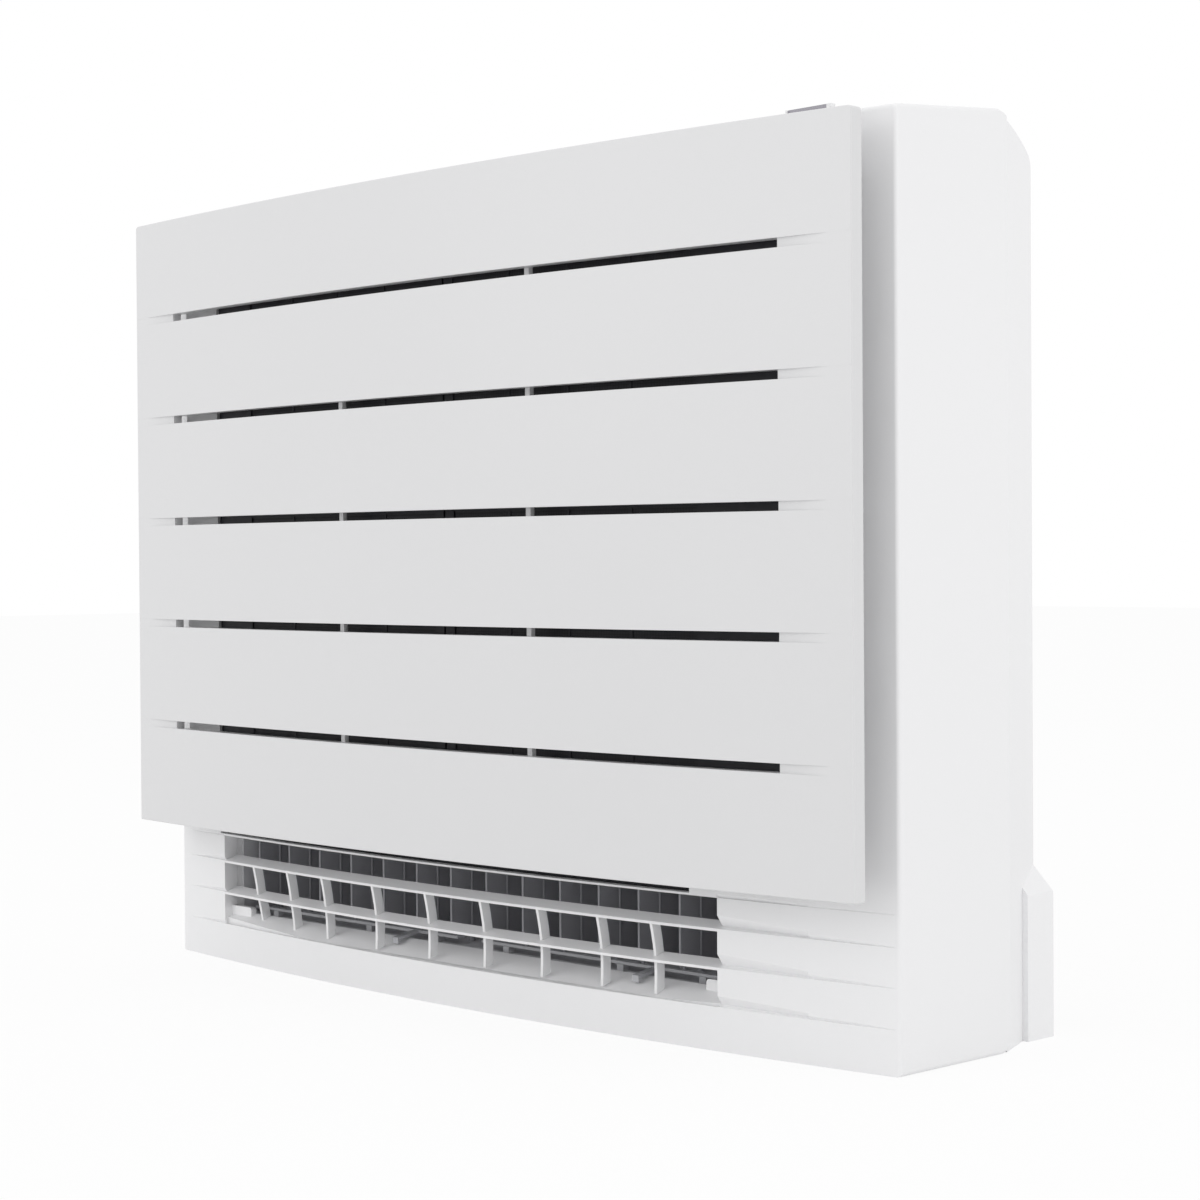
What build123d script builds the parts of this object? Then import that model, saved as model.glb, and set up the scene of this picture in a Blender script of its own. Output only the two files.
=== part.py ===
from build123d import *
import os
from math import asin, cos, degrees, pi, radians, sin, sqrt

# Floor standing air conditioner with a bowed, slotted front panel.
# Millimetres. The origin is on the floor at the centre of the footprint, the front faces -Y and +Z is up.

# ---- Overall -------------------------------------------------------------------------------------
WIDTH = 750.0
DEPTH = 238.0
HEIGHT = 600.0
BODY_HALF = WIDTH / 2
Y_FRONT = -DEPTH / 2
Y_WALL = DEPTH / 2

# ---- Fits ----------------------------------------------------------------------------------------
RUNNING = 0.05          # radial clearance of a pin in its bore
CLEAR = 0.3             # gap between pieces that only lie beside each other
WALL = 2.5              # moulded wall
SHEET = 2.0             # wall of the smaller mouldings

# ---- Front panel ---------------------------------------------------------------------------------
PANEL_EDGE = 1.0        # the panel is this much narrower than the body on each side
PANEL_HALF = BODY_HALF - PANEL_EDGE
PANEL_BOW = 20.7
PANEL_Z0 = 109.6
PANEL_Z1 = HEIGHT - 14.5
PANEL_DEPTH = 9.5
PANEL_CORNER_TOP = 3.0
PANEL_CORNER_LOW = 1.2
PANEL_SOFT_EDGE = 0.9
SLOT_COUNT = 5
SLOT_PITCH = 80.0
SLOT_HEIGHT = 6.0
SLOT_TOP_MARGIN = 77.2  # from the panel's top edge to the middle of the top slot
SLOT_END_MARGIN = 56.0  # from the panel's side edge to the slot's end
SLOT_LIP = 2.0
FADE_LENGTH = 38.0      # shallow groove that runs on past each slot end
FADE_DEPTH = 2.2
GROOVE_DEPTH = 0.12     # what is left of the groove from its fade to the panel's side
RIB_X = 100.0
RIB_WIDTH = 4.4
RIB_DEPTH = 3.0
HINGE_X = BODY_HALF - 125.0
HINGE_Y = Y_FRONT + 33.0
HINGE_Z = PANEL_Z0 + 9.4
HINGE_PIN_R = 3.0
HINGE_EYE_R = 5.0
HINGE_EYE_LENGTH = 12.0
ARM_WIDTH = 6.0
ROOT_SINK = 0.8         # how deep an arm's root goes into the panel's wall
PAD_SIZE = 8.0
STOPPER_Z = PANEL_Z1 - 27.5
STOPPER_TRAVEL = 8.0
STOPPER_HEAD = 5.0      # thickness of a stopper's head
LUG_X = BODY_HALF - 30.0
LUG_THICK = 3.0
LUG_HEIGHT = 16.0
HOOK_LENGTH = 12.0
HOOK_Y = Y_FRONT + 51.0

# ---- Front shell ---------------------------------------------------------------------------------
FLOAT_GAP = 36.5        # from the panel's front to the body's front, on the middle line
BODY_BOW = 25.4
SHELL_BACK_Y = Y_WALL - 66.0
BODY_ROUND = 3.0
TOP_FRONT_Z = HEIGHT - 8.7   # height of the top at the body's front corners
TOP_PEAK_Y = SHELL_BACK_Y - 9.0
TOP_BACK_Z = HEIGHT - 4.0
TOP_WALL = 4.0          # the sloping top is thicker than the other walls
HEEL = 6.0
INTAKE_SIDE = 48.0      # from the body's side to the outside of the intake frame
INTAKE_Z0 = PANEL_Z0 + 18.4
INTAKE_Z1 = PANEL_Z1 - 11.5
INTAKE_SETBACK = 20.0   # from the panel's front to the intake frame's flange
INTAKE_REACH = 70.0     # from the panel's front to the back of the intake frame's walls
FLANGE_LEFT = 46.0
FLANGE_RIGHT = 23.0
FLANGE_HEIGHT = 12.0
WINDOW_MARGIN = 24.0

# ---- Filters -------------------------------------------------------------------------------------
FILTER_DEPTH = INTAKE_SETBACK + WALL + CLEAR
FILTER_THICK = 3.0
FILTER_GAP = 1.0
FILTER_RIM = 9.0
FILTER_SIDE = 75.5      # wide closed margin at the outer end of each filter
FILTER_BAR = 2.0
FILTER_COLUMNS = 4
FILTER_ROWS = 6
DEODORISER_X = 140.0
DEODORISER_WIDTH = 120.0
DEODORISER_Z0 = INTAKE_Z0 + 122.0
DEODORISER_HEIGHT = 200.0
DEODORISER_THICK = 8.0
CELL_COLUMNS = 6
CELL_ROWS = 10
CELL_WALL = 3.0

# ---- Lower outlet --------------------------------------------------------------------------------
OUTLET_X0 = -BODY_HALF + 69.0
OUTLET_X1 = BODY_HALF - 138.0
BAYS = (42, 48, 47, 64, 62, 60, 58, 57, 48, 57)     # widths of the bays between the posts, as shares
OUTLET_Z0 = 28.6
OUTLET_Z1 = 98.8
BAR_Z = (78.0, 53.0)
BAR_THICK = 1.8
BAR_DEPTH = 12.5
BAR_RISE = 3.6          # each bar rises this much from its front edge to its back edge
GRILLE_BACK_Y = Y_FRONT + 65.5
POST_THICK = 2.4
POST_DEPTH = 7.0
POST_LEAN = 5.5
POST_HOLLOW = 0.4
SPREAD_POSTS = 3        # so many posts at the left end lean on below the lower bar
SPREAD_LEAN = 4.9
SILL_SETBACK = 3.0      # from the body's front to the foot of the sloping sill
SILL_RISE = 9.0         # height of the sill's back edge over the outlet's lower edge
SILL_SLOPE = 0.45
SILL_GROOVE = 1.2
SILL_END_LEFT = 25.0
SILL_END_RIGHT = 23.0
SILL_END_RISE = 14.0
SILL_END_DEPTH = 5.0
SILL_END_ROUND = 2.5
RELIEF_DEPTH = 5.0      # depth of a ledge beside the outlet
RELIEF_HEIGHT = 8.0
RELIEF_AHEAD = 5.0      # how far a ledge's cut starts ahead of the body's front
RELIEF_END = 0.35       # depth of a ledge at its right end
RELIEF_LEFT = 58.0
RELIEF_RIGHT = 134.0
RELIEF_STEP = 0.53      # share of its run at which a ledge steps down to a thin line
RECESS_X0 = OUTLET_X0 - 6.0
RECESS_X1 = OUTLET_X1 - 23.0
RECESS_LIP = 1.4
RECESS_HEIGHT = 8.1
RECESS_DEPTH = 8.0
SEAL_THICK = 1.5

# ---- Rear casing ---------------------------------------------------------------------------------
CASING_INSET = 25.0
CASING_HALF = BODY_HALF - CASING_INSET
CASING_SHOULDER_HALF = BODY_HALF - 3.0      # right behind the shell, where the casing is widest
CASING_BACK_HALF = BODY_HALF - 30.0
CASING_LIP_Y = SHELL_BACK_Y - 28.0
CASING_LIP_Z = TOP_BACK_Z - 4.0
BACK_Y = Y_WALL - WALL
BACK_TOP_Z = HEIGHT - 29.0   # height of the flat back
BACK_ROUND = 7.0
BACK_ROUND_Z = HEIGHT - 18.5
CROWN_Y = Y_WALL - 31.0
CROWN_Z = HEIGHT - 10.6
FOOT_HALF = BODY_HALF - 14.0
FOOT_DEPTH = 28.0
FOOT_Z = 112.0
FOOT_CHAMFER = FOOT_HALF - CASING_BACK_HALF
PLATE_WIDTH = 420.0
PLATE_Z1 = HEIGHT - 50.0
PLATE_HEIGHT = 80.0
PLATE_Z0 = PLATE_Z1 - PLATE_HEIGHT
PLATE_THICK = 1.8
PLATE_HOLE_X = 350.0
PLATE_HOLE_Z = 50.0
WALL_SCREW_R = 2.6
FOOT_SCREW_Z = 80.0
FOOT_SCREW_R = 3.0

# ---- Lower duct and fins -------------------------------------------------------------------------
DUCT_MOUTH_Y = Y_FRONT + 71.0
DUCT_FLOOR_Z = 36.0
DUCT_CEILING_Z = 99.6
CHEEK = 1.4
FINS_PER_SET = 7
FIN_EDGE = 19.95        # from the outlet's side to the first fin
FIN_THICK = 1.6
FIN_FRONT_Y = DUCT_MOUTH_Y + 2.5
FIN_BACK_Y = FIN_FRONT_Y + 38.5
FIN_PIVOT_Y = FIN_FRONT_Y + 19.5
FIN_PIVOT_R = 1.5
FIN_COLLAR_R = 2.4
FIN_LIFT = 8.5          # from the duct's floor to the fins' lower edge
LINK_Y = FIN_FRONT_Y + 3.5
LINK_LIFT = 4.5         # from the duct's floor to the link bar
LINK_WIDTH = 7.0
LINK_THICK = 2.0
LINK_PIN_R = 1.2
FIN_SWING = 22.0
TAB_X = (-60.0, 190.0)  # finger tabs, from the middle of the outlet
TAB_WIDTH = 6.0
TAB_REACH = 20.0
TAB_DROP = 2.3
TAB_FALL = 3.5          # how much the tab's arm falls on its way forward
TAB_THICK = 1.6

# ---- Heat exchanger ------------------------------------------------------------------------------
PAN_Z0 = DUCT_CEILING_Z + 6.4
PAN_HEIGHT = 21.0
PAN_Z1 = PAN_Z0 + PAN_HEIGHT
CHAMBER_Y = Y_FRONT + 127.0
CHAMBER_Z0 = PAN_Z1 + 1.0
CHAMBER_Z1 = HEIGHT - 54.0
COIL_DEPTH = 30.0
COIL_Y0 = Y_FRONT + 77.0
COIL_Y1 = COIL_Y0 + COIL_DEPTH
COIL_Z0 = PAN_Z0 + 10.0
COIL_Z1 = CHAMBER_Z1 - 5.0
COIL_SIDE = 10.0
COIL_X0 = OUTLET_X0 + COIL_SIDE
COIL_X1 = OUTLET_X1 - COIL_SIDE - 5.0
TUBE_R = 3.5
TUBE_ROWS = 2
TUBE_RUNS = 12
GROOVES = 30
GROOVE_WIDTH = 6.0
GROOVE_CUT = 2.5
END_THICK = 1.5
PAN_Y0 = COIL_Y0 - 9.0
PAN_Y1 = CHAMBER_Y - 3.0
PAN_RIBS = 5

# ---- Fan -----------------------------------------------------------------------------------------
AIR_MID = (OUTLET_X0 + OUTLET_X1) / 2
FAN_Z = (CHAMBER_Z0 + CHAMBER_Z1) / 2
FAN_R = 172.0
FAN_Y0 = CHAMBER_Y + 12.0
MOTOR_R = 46.0
MOTOR_THICK = 28.0
MOTOR_Y1 = Y_WALL - 8.0
MOTOR_Y0 = MOTOR_Y1 - MOTOR_THICK
FAN_Y1 = MOTOR_Y0 - 5.0
DISC = 3.0              # thickness of the wheel's back plate and shroud
INLET_R = 112.0
FLARE = 6.0
BLADES = 8
BLADE_THICK = 3.0
BLADE_SWEEP = 58.0
SHAFT_R = 4.0
HUB_R = 18.0
HUB_LENGTH = 34.0
CLAMP_SCREW_R = 1.6
BUSH_R = 4.0

# ---- Flap, damper and their motors ---------------------------------------------------------------
FLAP_PIVOT_Y = CASING_LIP_Y - 5.0
FLAP_LENGTH = 52.0
FLAP_Y0 = FLAP_PIVOT_Y - FLAP_LENGTH
FLAP_THICK = 3.4
FLAP_GAP = 1.2
FLAP_SIDE = 6.0         # from the duct's side to the flap's opening
PIVOT_R = 2.0
MOTOR_LENGTH = 17.0
MOTOR_CAN_R = 11.0
MOTOR_DROP = 16.0       # from the output shaft down to the middle of the can
DRIVE_R = 1.2
DAMPER_Y = CHAMBER_Y + 7.0
DAMPER_Z = PAN_Z0 + 6.0
DAMPER_LENGTH = 52.0
DAMPER_THICK = 2.4

# ---- Right-hand bay ------------------------------------------------------------------------------
PIPE_END_Y = Y_WALL - 11.0
PIPE_Z = 60.0
PIPE_BEND = 9.0
UNION_LENGTH = 26.0
GAS_R = 4.76
LIQUID_R = 3.18
GAS_THREAD_R = 7.94
LIQUID_THREAD_R = 5.56
GAS_X = BODY_HALF - 57.0
LIQUID_X = BODY_HALF - 87.0
GAS_SIDE_X = OUTLET_X1 + 11.0
LIQUID_SIDE_X = OUTLET_X1 + 20.5
GAS_BACK_Y = PIPE_END_Y - UNION_LENGTH - 22.0
LIQUID_BACK_Y = GAS_BACK_Y - 16.0
DRAIN_R = 9.0
DRAIN_BORE_R = 7.5
DRAIN_X = OUTLET_X1 + 33.0
DRAIN_Y = COIL_Y1 - 8.0
DRAIN_END_Z = 38.0
DRAIN_KNEE_Z = 60.0
STUB_R = DRAIN_BORE_R - 1.0
STUB_LENGTH = 14.0
PIPE_OPENING_X0 = DRAIN_X - 26.0
PIPE_OPENING_X1 = CASING_HALF - 8.0
PIPE_OPENING_Z0 = 20.0
PIPE_OPENING_Z1 = 100.0
FOOT_SCREW_X = PIPE_OPENING_X0 - 34.0
BOX_X0 = OUTLET_X1 + 25.0
BOX_X1 = BODY_HALF - 30.0
BOX_Y0 = COIL_Y0 - 2.0
BOX_Y1 = LIQUID_BACK_Y - 22.0
BOX_Z0 = PAN_Z1 + 23.0
BOX_Z1 = CHAMBER_Z1 - 1.0
LID_THICK = 1.2
BOARD_THICK = 1.6
BOARD_POST = 12.0       # height of the posts that carry the main board
BUTTON_X = BODY_HALF - 90.0
BUTTON_Y = Y_FRONT + 99.0
BUTTON_R = 7.0
BUTTON_TRAVEL = 1.2
DISPLAY_WIDTH = 33.0
DISPLAY_X0 = BODY_HALF - 85.5
DISPLAY_X1 = DISPLAY_X0 + DISPLAY_WIDTH
DISPLAY_Y0 = Y_FRONT + 59.0
DISPLAY_Y1 = DISPLAY_Y0 + 4.0
DISPLAY_RISE = 6.2
DISPLAY_INSET = 1.0
SWITCH_X = BODY_HALF - 41.5
SWITCH_Z = INTAKE_Z0 + 32.0
SWITCH_TRAVEL = 3.0

# ---- Derived places ------------------------------------------------------------------------------
INTAKE_HALF = BODY_HALF - INTAKE_SIDE
SLOT_HALF = PANEL_HALF - SLOT_END_MARGIN
SLOT_Z = [PANEL_Z1 - SLOT_TOP_MARGIN - SLOT_PITCH * k for k in range(SLOT_COUNT)]
TOP_FRONT_Y = Y_FRONT + FLOAT_GAP + BODY_BOW
TOP_SLOPE = (HEIGHT - TOP_FRONT_Z) / (TOP_PEAK_Y - TOP_FRONT_Y)
OUTLET_WIDTH = OUTLET_X1 - OUTLET_X0
POST_X = [OUTLET_X0 + OUTLET_WIDTH * sum(BAYS[:k]) / sum(BAYS) for k in range(1, len(BAYS))]
FIN_COUNT = 2 * FINS_PER_SET
FIN_PITCH = (OUTLET_WIDTH - 2 * FIN_EDGE) / (FIN_COUNT - 1)
FIN_X = [OUTLET_X0 + FIN_EDGE + FIN_PITCH * k for k in range(FIN_COUNT)]
FIN_Z0 = DUCT_FLOOR_Z + FIN_LIFT
LINK_ARM = FIN_PIVOT_Y - LINK_Y
FILTER_HALF = INTAKE_HALF - WALL - STOPPER_TRAVEL - 5.0
STOPPER_Y = HOOK_Y - LUG_THICK - CLEAR - STOPPER_HEAD / 2
STUB_Z = PAN_Z0 + DRAIN_BORE_R + 0.5
CLAMP_Y0 = MOTOR_Y1 - 3.2


def top_z(y):
    """Height of the sloping top of the body at depth y."""
    return HEIGHT - TOP_SLOPE * (TOP_PEAK_Y - y)


def under_top_z(y):
    """Height of the underside of the body's sloping top at depth y."""
    return top_z(y) - TOP_WALL


def block(x0, x1, y0, y1, z0, z1):
    """Box between two corners."""
    size = (x1 - x0, y1 - y0, z1 - z0)
    return Pos((x0 + x1) / 2, (y0 + y1) / 2, (z0 + z1) / 2) * Box(*size)


def rod_x(radius, x0, x1, y, z):
    """Cylinder along X."""
    turned = Rot(0, 90, 0) * Cylinder(radius, x1 - x0, align=(Align.CENTER, Align.CENTER, Align.MIN))
    return Pos(x0, y, z) * turned


def rod_y(radius, x, y0, y1, z):
    """Cylinder along Y."""
    turned = Rot(-90, 0, 0) * Cylinder(radius, y1 - y0, align=(Align.CENTER, Align.CENTER, Align.MIN))
    return Pos(x, y0, z) * turned


def rod_z(radius, x, y, z0, z1):
    """Cylinder along Z."""
    return Pos(x, y, z0) * Cylinder(radius, z1 - z0, align=(Align.CENTER, Align.CENTER, Align.MIN))


def side_profile(x0, x1, edges):
    """Extrude a closed outline, drawn as (y, z) edges, from x0 to x1."""
    return extrude(Plane.YZ.offset(x0) * make_face(edges), amount=x1 - x0)


def side_polygon(x0, x1, points):
    """Extrude a closed polygon of (y, z) points from x0 to x1."""
    return side_profile(x0, x1, Polyline(*points, close=True).edges())


def plan_polygon(z0, z1, points):
    """Extrude a closed polygon of (x, y) points from z0 to z1."""
    face = make_face(Polyline(*points, close=True).edges())
    return Pos(0, 0, z0) * extrude(face, amount=z1 - z0, dir=(0, 0, 1))


class Bow:
    """An upright surface that bows forward in plan, with slabs and blocks set out from it."""

    def __init__(self, half, y_mid, rise):
        self.radius = (half ** 2 + rise ** 2) / (2 * rise)
        self.centre = y_mid + self.radius

    def y(self, x, depth=0.0):
        """Place of the surface at x, a given depth behind the front."""
        return self.centre - sqrt((self.radius - depth) ** 2 - x ** 2)

    def arc(self, x0, x1, depth):
        middle = (x0 + x1) / 2
        return ThreePointArc(*[(x, self.y(x, depth)) for x in (x0, middle, x1)])

    def slab(self, x0, x1, z0, z1, depth0, depth1):
        """Curved slab between two depths behind the surface."""
        front = self.arc(x0, x1, depth0)
        back = self.arc(x1, x0, depth1)
        outline = [front, Line(front @ 1, back @ 0), back, Line(back @ 1, front @ 0)]
        face = make_face([edge for part in outline for edge in part.edges()])
        return Pos(0, 0, z0) * extrude(face, amount=z1 - z0, dir=(0, 0, 1))

    def block(self, x0, x1, z0, z1, depth, y_back):
        """Block with a curved front and a flat back."""
        front = self.arc(x0, x1, depth)
        back = Polyline(front @ 1, (x1, y_back), (x0, y_back), front @ 0)
        face = make_face([edge for part in (front, back) for edge in part.edges()])
        return Pos(0, 0, z0) * extrude(face, amount=z1 - z0, dir=(0, 0, 1))


    def turned(self, x0, x1, section):
        """Body of (depth, z) section that follows the bow from x0 to x1."""
        a0, a1 = [degrees(asin(x / self.radius)) for x in (x0, x1)]
        y_mid = self.centre - self.radius
        face = Plane.YZ * make_face(Polyline(*[(y_mid + d, z) for d, z in section], close=True).edges())
        axis = Axis((0, self.centre, 0), (0, 0, 1))
        return revolve(face, axis, revolution_arc=a1 - a0).rotate(axis, a0)


PANEL = Bow(PANEL_HALF, Y_FRONT, PANEL_BOW)
BODY = Bow(BODY_HALF, Y_FRONT + FLOAT_GAP, BODY_BOW)


# ---- Front panel ---------------------------------------------------------------------------------
def front_panel():
    panel = PANEL.slab(-PANEL_HALF, PANEL_HALF, PANEL_Z0, PANEL_Z1, 0, PANEL_DEPTH)
    corners = panel.edges().filter_by(Axis.Y).group_by(Axis.Z)
    panel = fillet(corners[-1], PANEL_CORNER_TOP)
    panel = fillet(panel.edges().filter_by(Axis.Y).group_by(Axis.Z)[0], PANEL_CORNER_LOW)
    front = panel.faces().sort_by(Axis.Y)[0]
    panel = fillet(front.edges(), PANEL_SOFT_EDGE)

    reach = SLOT_HEIGHT / 2 + SLOT_LIP
    lows = [PANEL_Z0 + WALL] + [z + reach for z in reversed(SLOT_Z)]
    highs = [z - reach for z in reversed(SLOT_Z)] + [PANEL_Z1 - WALL]
    inside = PANEL_HALF - WALL
    for low, high in zip(lows, highs):
        panel -= PANEL.slab(-inside, inside, low, high, WALL, PANEL_DEPTH + 1)
    for z in SLOT_Z:
        low, high = z - SLOT_HEIGHT / 2, z + SLOT_HEIGHT / 2
        panel -= PANEL.slab(-SLOT_HALF, SLOT_HALF, low, high, -1, PANEL_DEPTH + 1)
        for side in (-1, 1):
            start, end = side * SLOT_HALF, side * (SLOT_HALF + FADE_LENGTH)
            points = [(start, PANEL.y(start, FADE_DEPTH)), (end, PANEL.y(end, GROOVE_DEPTH)),
                      (end, PANEL.y(end) - 5), (start, PANEL.y(start) - 5)]
            panel -= plan_polygon(low, high, points)
            x0, x1 = sorted((end, side * (PANEL_HALF + 1)))
            panel -= PANEL.slab(x0, x1, low, high, -5, GROOVE_DEPTH)
    panel += panel_ribs()
    panel += hinge_arms()
    return panel


def panel_ribs():
    """Two upright bars behind the slots; the left one stops under the top slot."""
    reach = SLOT_HEIGHT / 2 + SLOT_LIP
    tops = {-1: SLOT_Z[1] + reach, 1: SLOT_Z[0] + reach}
    ribs = Part()
    for side, top in tops.items():
        x0, x1 = side * RIB_X - RIB_WIDTH / 2, side * RIB_X + RIB_WIDTH / 2
        bottom = SLOT_Z[-1] - reach
        ribs += PANEL.slab(x0, x1, bottom, top, PANEL_DEPTH - 0.5, PANEL_DEPTH + RIB_DEPTH)
    return ribs


def hinge_arms():
    """Arms behind the panel's lower corners that end in the hinge pins."""
    arms = Part()
    for side in (-1, 1):
        eye_in, eye_out = HINGE_X - HINGE_EYE_LENGTH / 2, HINGE_X + HINGE_EYE_LENGTH / 2
        x0, x1 = sorted((side * (eye_in - 1), side * (eye_in - 1 - ARM_WIDTH)))
        root_y = PANEL.y(x1, WALL) - ROOT_SINK
        arms += block(x0, x1, root_y, HINGE_Y, HINGE_Z - HINGE_PIN_R, HINGE_Z + HINGE_PIN_R)
        arms += rod_x(HINGE_PIN_R + 1, x0, x1, HINGE_Y, HINGE_Z)
        pin0, pin1 = sorted((side * (eye_in - 1), side * eye_out))
        arms += rod_x(HINGE_PIN_R, pin0, pin1, HINGE_Y, HINGE_Z)
        arms += stopper_lug(side)
    return arms


def stopper_lug(side):
    """Hook behind a top corner of the panel that its stopper locks behind."""
    low, high = STOPPER_Z - LUG_HEIGHT / 2, STOPPER_Z + LUG_HEIGHT / 2
    x0, x1 = sorted((side * LUG_X, side * (LUG_X + LUG_THICK)))
    arm = block(x0, x1, PANEL.y(LUG_X, WALL) - ROOT_SINK, HOOK_Y, low, high)
    h0, h1 = sorted((side * (LUG_X + LUG_THICK - HOOK_LENGTH), side * (LUG_X + LUG_THICK)))
    return arm + block(h0, h1, HOOK_Y - LUG_THICK, HOOK_Y, low, high)


def panel_pads():
    """Soft pads behind the panel that rest on the intake frame's flange."""
    pads = []
    for x in (-INTAKE_HALF + FLANGE_RIGHT / 2, INTAKE_HALF - FLANGE_RIGHT / 2):
        for z in (INTAKE_Z0 + 24, INTAKE_Z1 - 24):
            x0, x1 = x - PAD_SIZE / 2, x + PAD_SIZE / 2
            pads.append(PANEL.slab(x0, x1, z - PAD_SIZE / 2, z + PAD_SIZE / 2, WALL, INTAKE_SETBACK - CLEAR))
    return pads


def panel_stopper(side):
    """Stopper that slides out of the intake frame's side wall."""
    wall_in, wall_out = INTAKE_HALF - WALL, INTAKE_HALF
    x0, x1 = sorted((side * (wall_out + CLEAR), side * (wall_out + CLEAR + 6)))
    low, high = STOPPER_Y - STOPPER_HEAD / 2, STOPPER_Y + STOPPER_HEAD / 2
    head = block(x0, x1, low, high, STOPPER_Z - 6, STOPPER_Z + 6)
    s0, s1 = sorted((side * (wall_in - STOPPER_TRAVEL - 3), side * (wall_out + CLEAR + 1)))
    return head + rod_x(PIVOT_R, s0, s1, STOPPER_Y, STOPPER_Z)


# ---- Front shell ---------------------------------------------------------------------------------
def front_shell():
    y_far = Y_FRONT - 10
    outer = BODY.block(-BODY_HALF, BODY_HALF, 0, HEIGHT + 5, 0, SHELL_BACK_Y)
    profile = [(y_far, 0), (SHELL_BACK_Y - HEEL, 0), (SHELL_BACK_Y, HEEL), (SHELL_BACK_Y, TOP_BACK_Z),
               (TOP_PEAK_Y, HEIGHT), (y_far, top_z(y_far))]
    outer &= side_polygon(-BODY_HALF - 1, BODY_HALF + 1, profile)
    outer = rounded_shell(outer.solids()[0])

    inside = BODY.block(-BODY_HALF + WALL, BODY_HALF - WALL, WALL, HEIGHT, WALL, SHELL_BACK_Y + 5)
    y_turn = TOP_PEAK_Y - HEEL
    hollow = [(y_far, WALL), (SHELL_BACK_Y + 5, WALL), (SHELL_BACK_Y + 5, TOP_BACK_Z - WALL),
              (SHELL_BACK_Y, TOP_BACK_Z - WALL), (y_turn, under_top_z(y_turn)), (y_far, under_top_z(y_far))]
    shell = outer - (inside & side_polygon(-BODY_HALF, BODY_HALF, hollow))

    shell += intake_frame()
    window = INTAKE_HALF - WINDOW_MARGIN
    depth_in = -(FLOAT_GAP - INTAKE_SETBACK)
    shell -= BODY.slab(-window, window, INTAKE_Z0 + 6, INTAKE_Z1 - WINDOW_MARGIN, depth_in / 3, WALL + 1)
    shell = lower_grille(shell)
    shell = relief_lines(shell)
    shell = top_openings(shell)
    shell = shell_details(shell)
    return shell


def rounded_shell(outer):
    """Round the body's front upright edges, its lower side edges and the edges of its sloping top."""
    front_corner_y = BODY.y(BODY_HALF)
    chosen = []
    for edge in outer.edges():
        box = edge.bounding_box()
        upright = box.size.X < 0.01 and box.size.Y < 0.01 and abs(box.min.Y - front_corner_y) < 0.01
        side_low = box.max.Z < 0.01 and box.size.X < 0.01 and box.size.Y > 1
        over = box.min.Z > TOP_FRONT_Z - FLOAT_GAP and box.max.Y <= TOP_PEAK_Y + 0.01
        side_top = over and box.size.X < 0.01 and box.size.Y > 1
        front_top = over and box.size.X > WIDTH - 1 and box.max.Y < 0
        if upright or side_low or side_top or front_top:
            chosen.append(edge)
    return fillet(chosen, BODY_ROUND)


def intake_frame():
    """Raised box frame round the air intake, with a flange that holds the filters."""
    ring = PANEL.slab(-INTAKE_HALF, INTAKE_HALF, INTAKE_Z0, INTAKE_Z1, INTAKE_SETBACK, INTAKE_REACH)
    ring -= PANEL.slab(-INTAKE_HALF + WALL, INTAKE_HALF - WALL, INTAKE_Z0 + WALL, INTAKE_Z1 - WALL,
                       INTAKE_SETBACK + WALL, INTAKE_REACH + 5)
    ring -= PANEL.slab(-INTAKE_HALF + FLANGE_LEFT, INTAKE_HALF - FLANGE_RIGHT, INTAKE_Z0 + FLANGE_HEIGHT,
                       INTAKE_Z1 - FLANGE_HEIGHT, INTAKE_SETBACK - 1, INTAKE_REACH + 5)
    ahead = BODY.slab(-INTAKE_HALF, INTAKE_HALF, INTAKE_Z0, INTAKE_Z1, -FLOAT_GAP - 5, WALL)
    ring = ring & ahead
    return ring - rod_x(PIVOT_R + RUNNING, -INTAKE_HALF - 1, INTAKE_HALF + 1, STOPPER_Y, STOPPER_Z)


def lower_grille(shell):
    """Outlet tunnel with its sloping sill, rising bars and posts."""
    y_in = GRILLE_BACK_Y
    shell += BODY.block(OUTLET_X0 - WALL, OUTLET_X1 + WALL, OUTLET_Z0 - WALL, OUTLET_Z1 + WALL, 1, y_in)
    shell -= BODY.block(OUTLET_X0, OUTLET_X1, OUTLET_Z0, OUTLET_Z1, -2, y_in + 1)
    shell += outlet_sill()
    shell -= BODY.slab(OUTLET_X0, OUTLET_X1, OUTLET_Z0 - SILL_GROOVE, OUTLET_Z1 - 1,
                       SILL_SETBACK - SILL_GROOVE, SILL_SETBACK)
    for z in BAR_Z:
        shell += outlet_bar(z)
    for k, x in enumerate(POST_X):
        shell += post(k, x)
    return shell


def outlet_sill():
    """Sloping floor of the outlet tunnel, with a raised box at each end."""
    low, back_z = OUTLET_Z0 - WALL / 2, OUTLET_Z0 + SILL_RISE
    front_z = back_z - SILL_SLOPE * (GRILLE_BACK_Y - Y_FRONT)
    under = front_z - OUTLET_Z0
    sill = BODY.block(OUTLET_X0 - 1, OUTLET_X1 + 1, low, back_z + 1, SILL_SETBACK, GRILLE_BACK_Y)
    sill &= side_polygon(OUTLET_X0 - 2, OUTLET_X1 + 2, [(GRILLE_BACK_Y, back_z), (Y_FRONT, front_z),
                                                        (Y_FRONT, under), (GRILLE_BACK_Y, under)])
    ends = ((OUTLET_X0 - 1, OUTLET_X0 + SILL_END_LEFT), (OUTLET_X1 - SILL_END_RIGHT, OUTLET_X1 + 1))
    for x0, x1 in ends:
        end = block(x0, x1, GRILLE_BACK_Y - SILL_END_DEPTH, GRILLE_BACK_Y, low, OUTLET_Z0 + SILL_END_RISE)
        sill += fillet(end.edges().filter_by(Axis.Y).group_by(Axis.Z)[-1], SILL_END_ROUND)
    return sill


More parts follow.
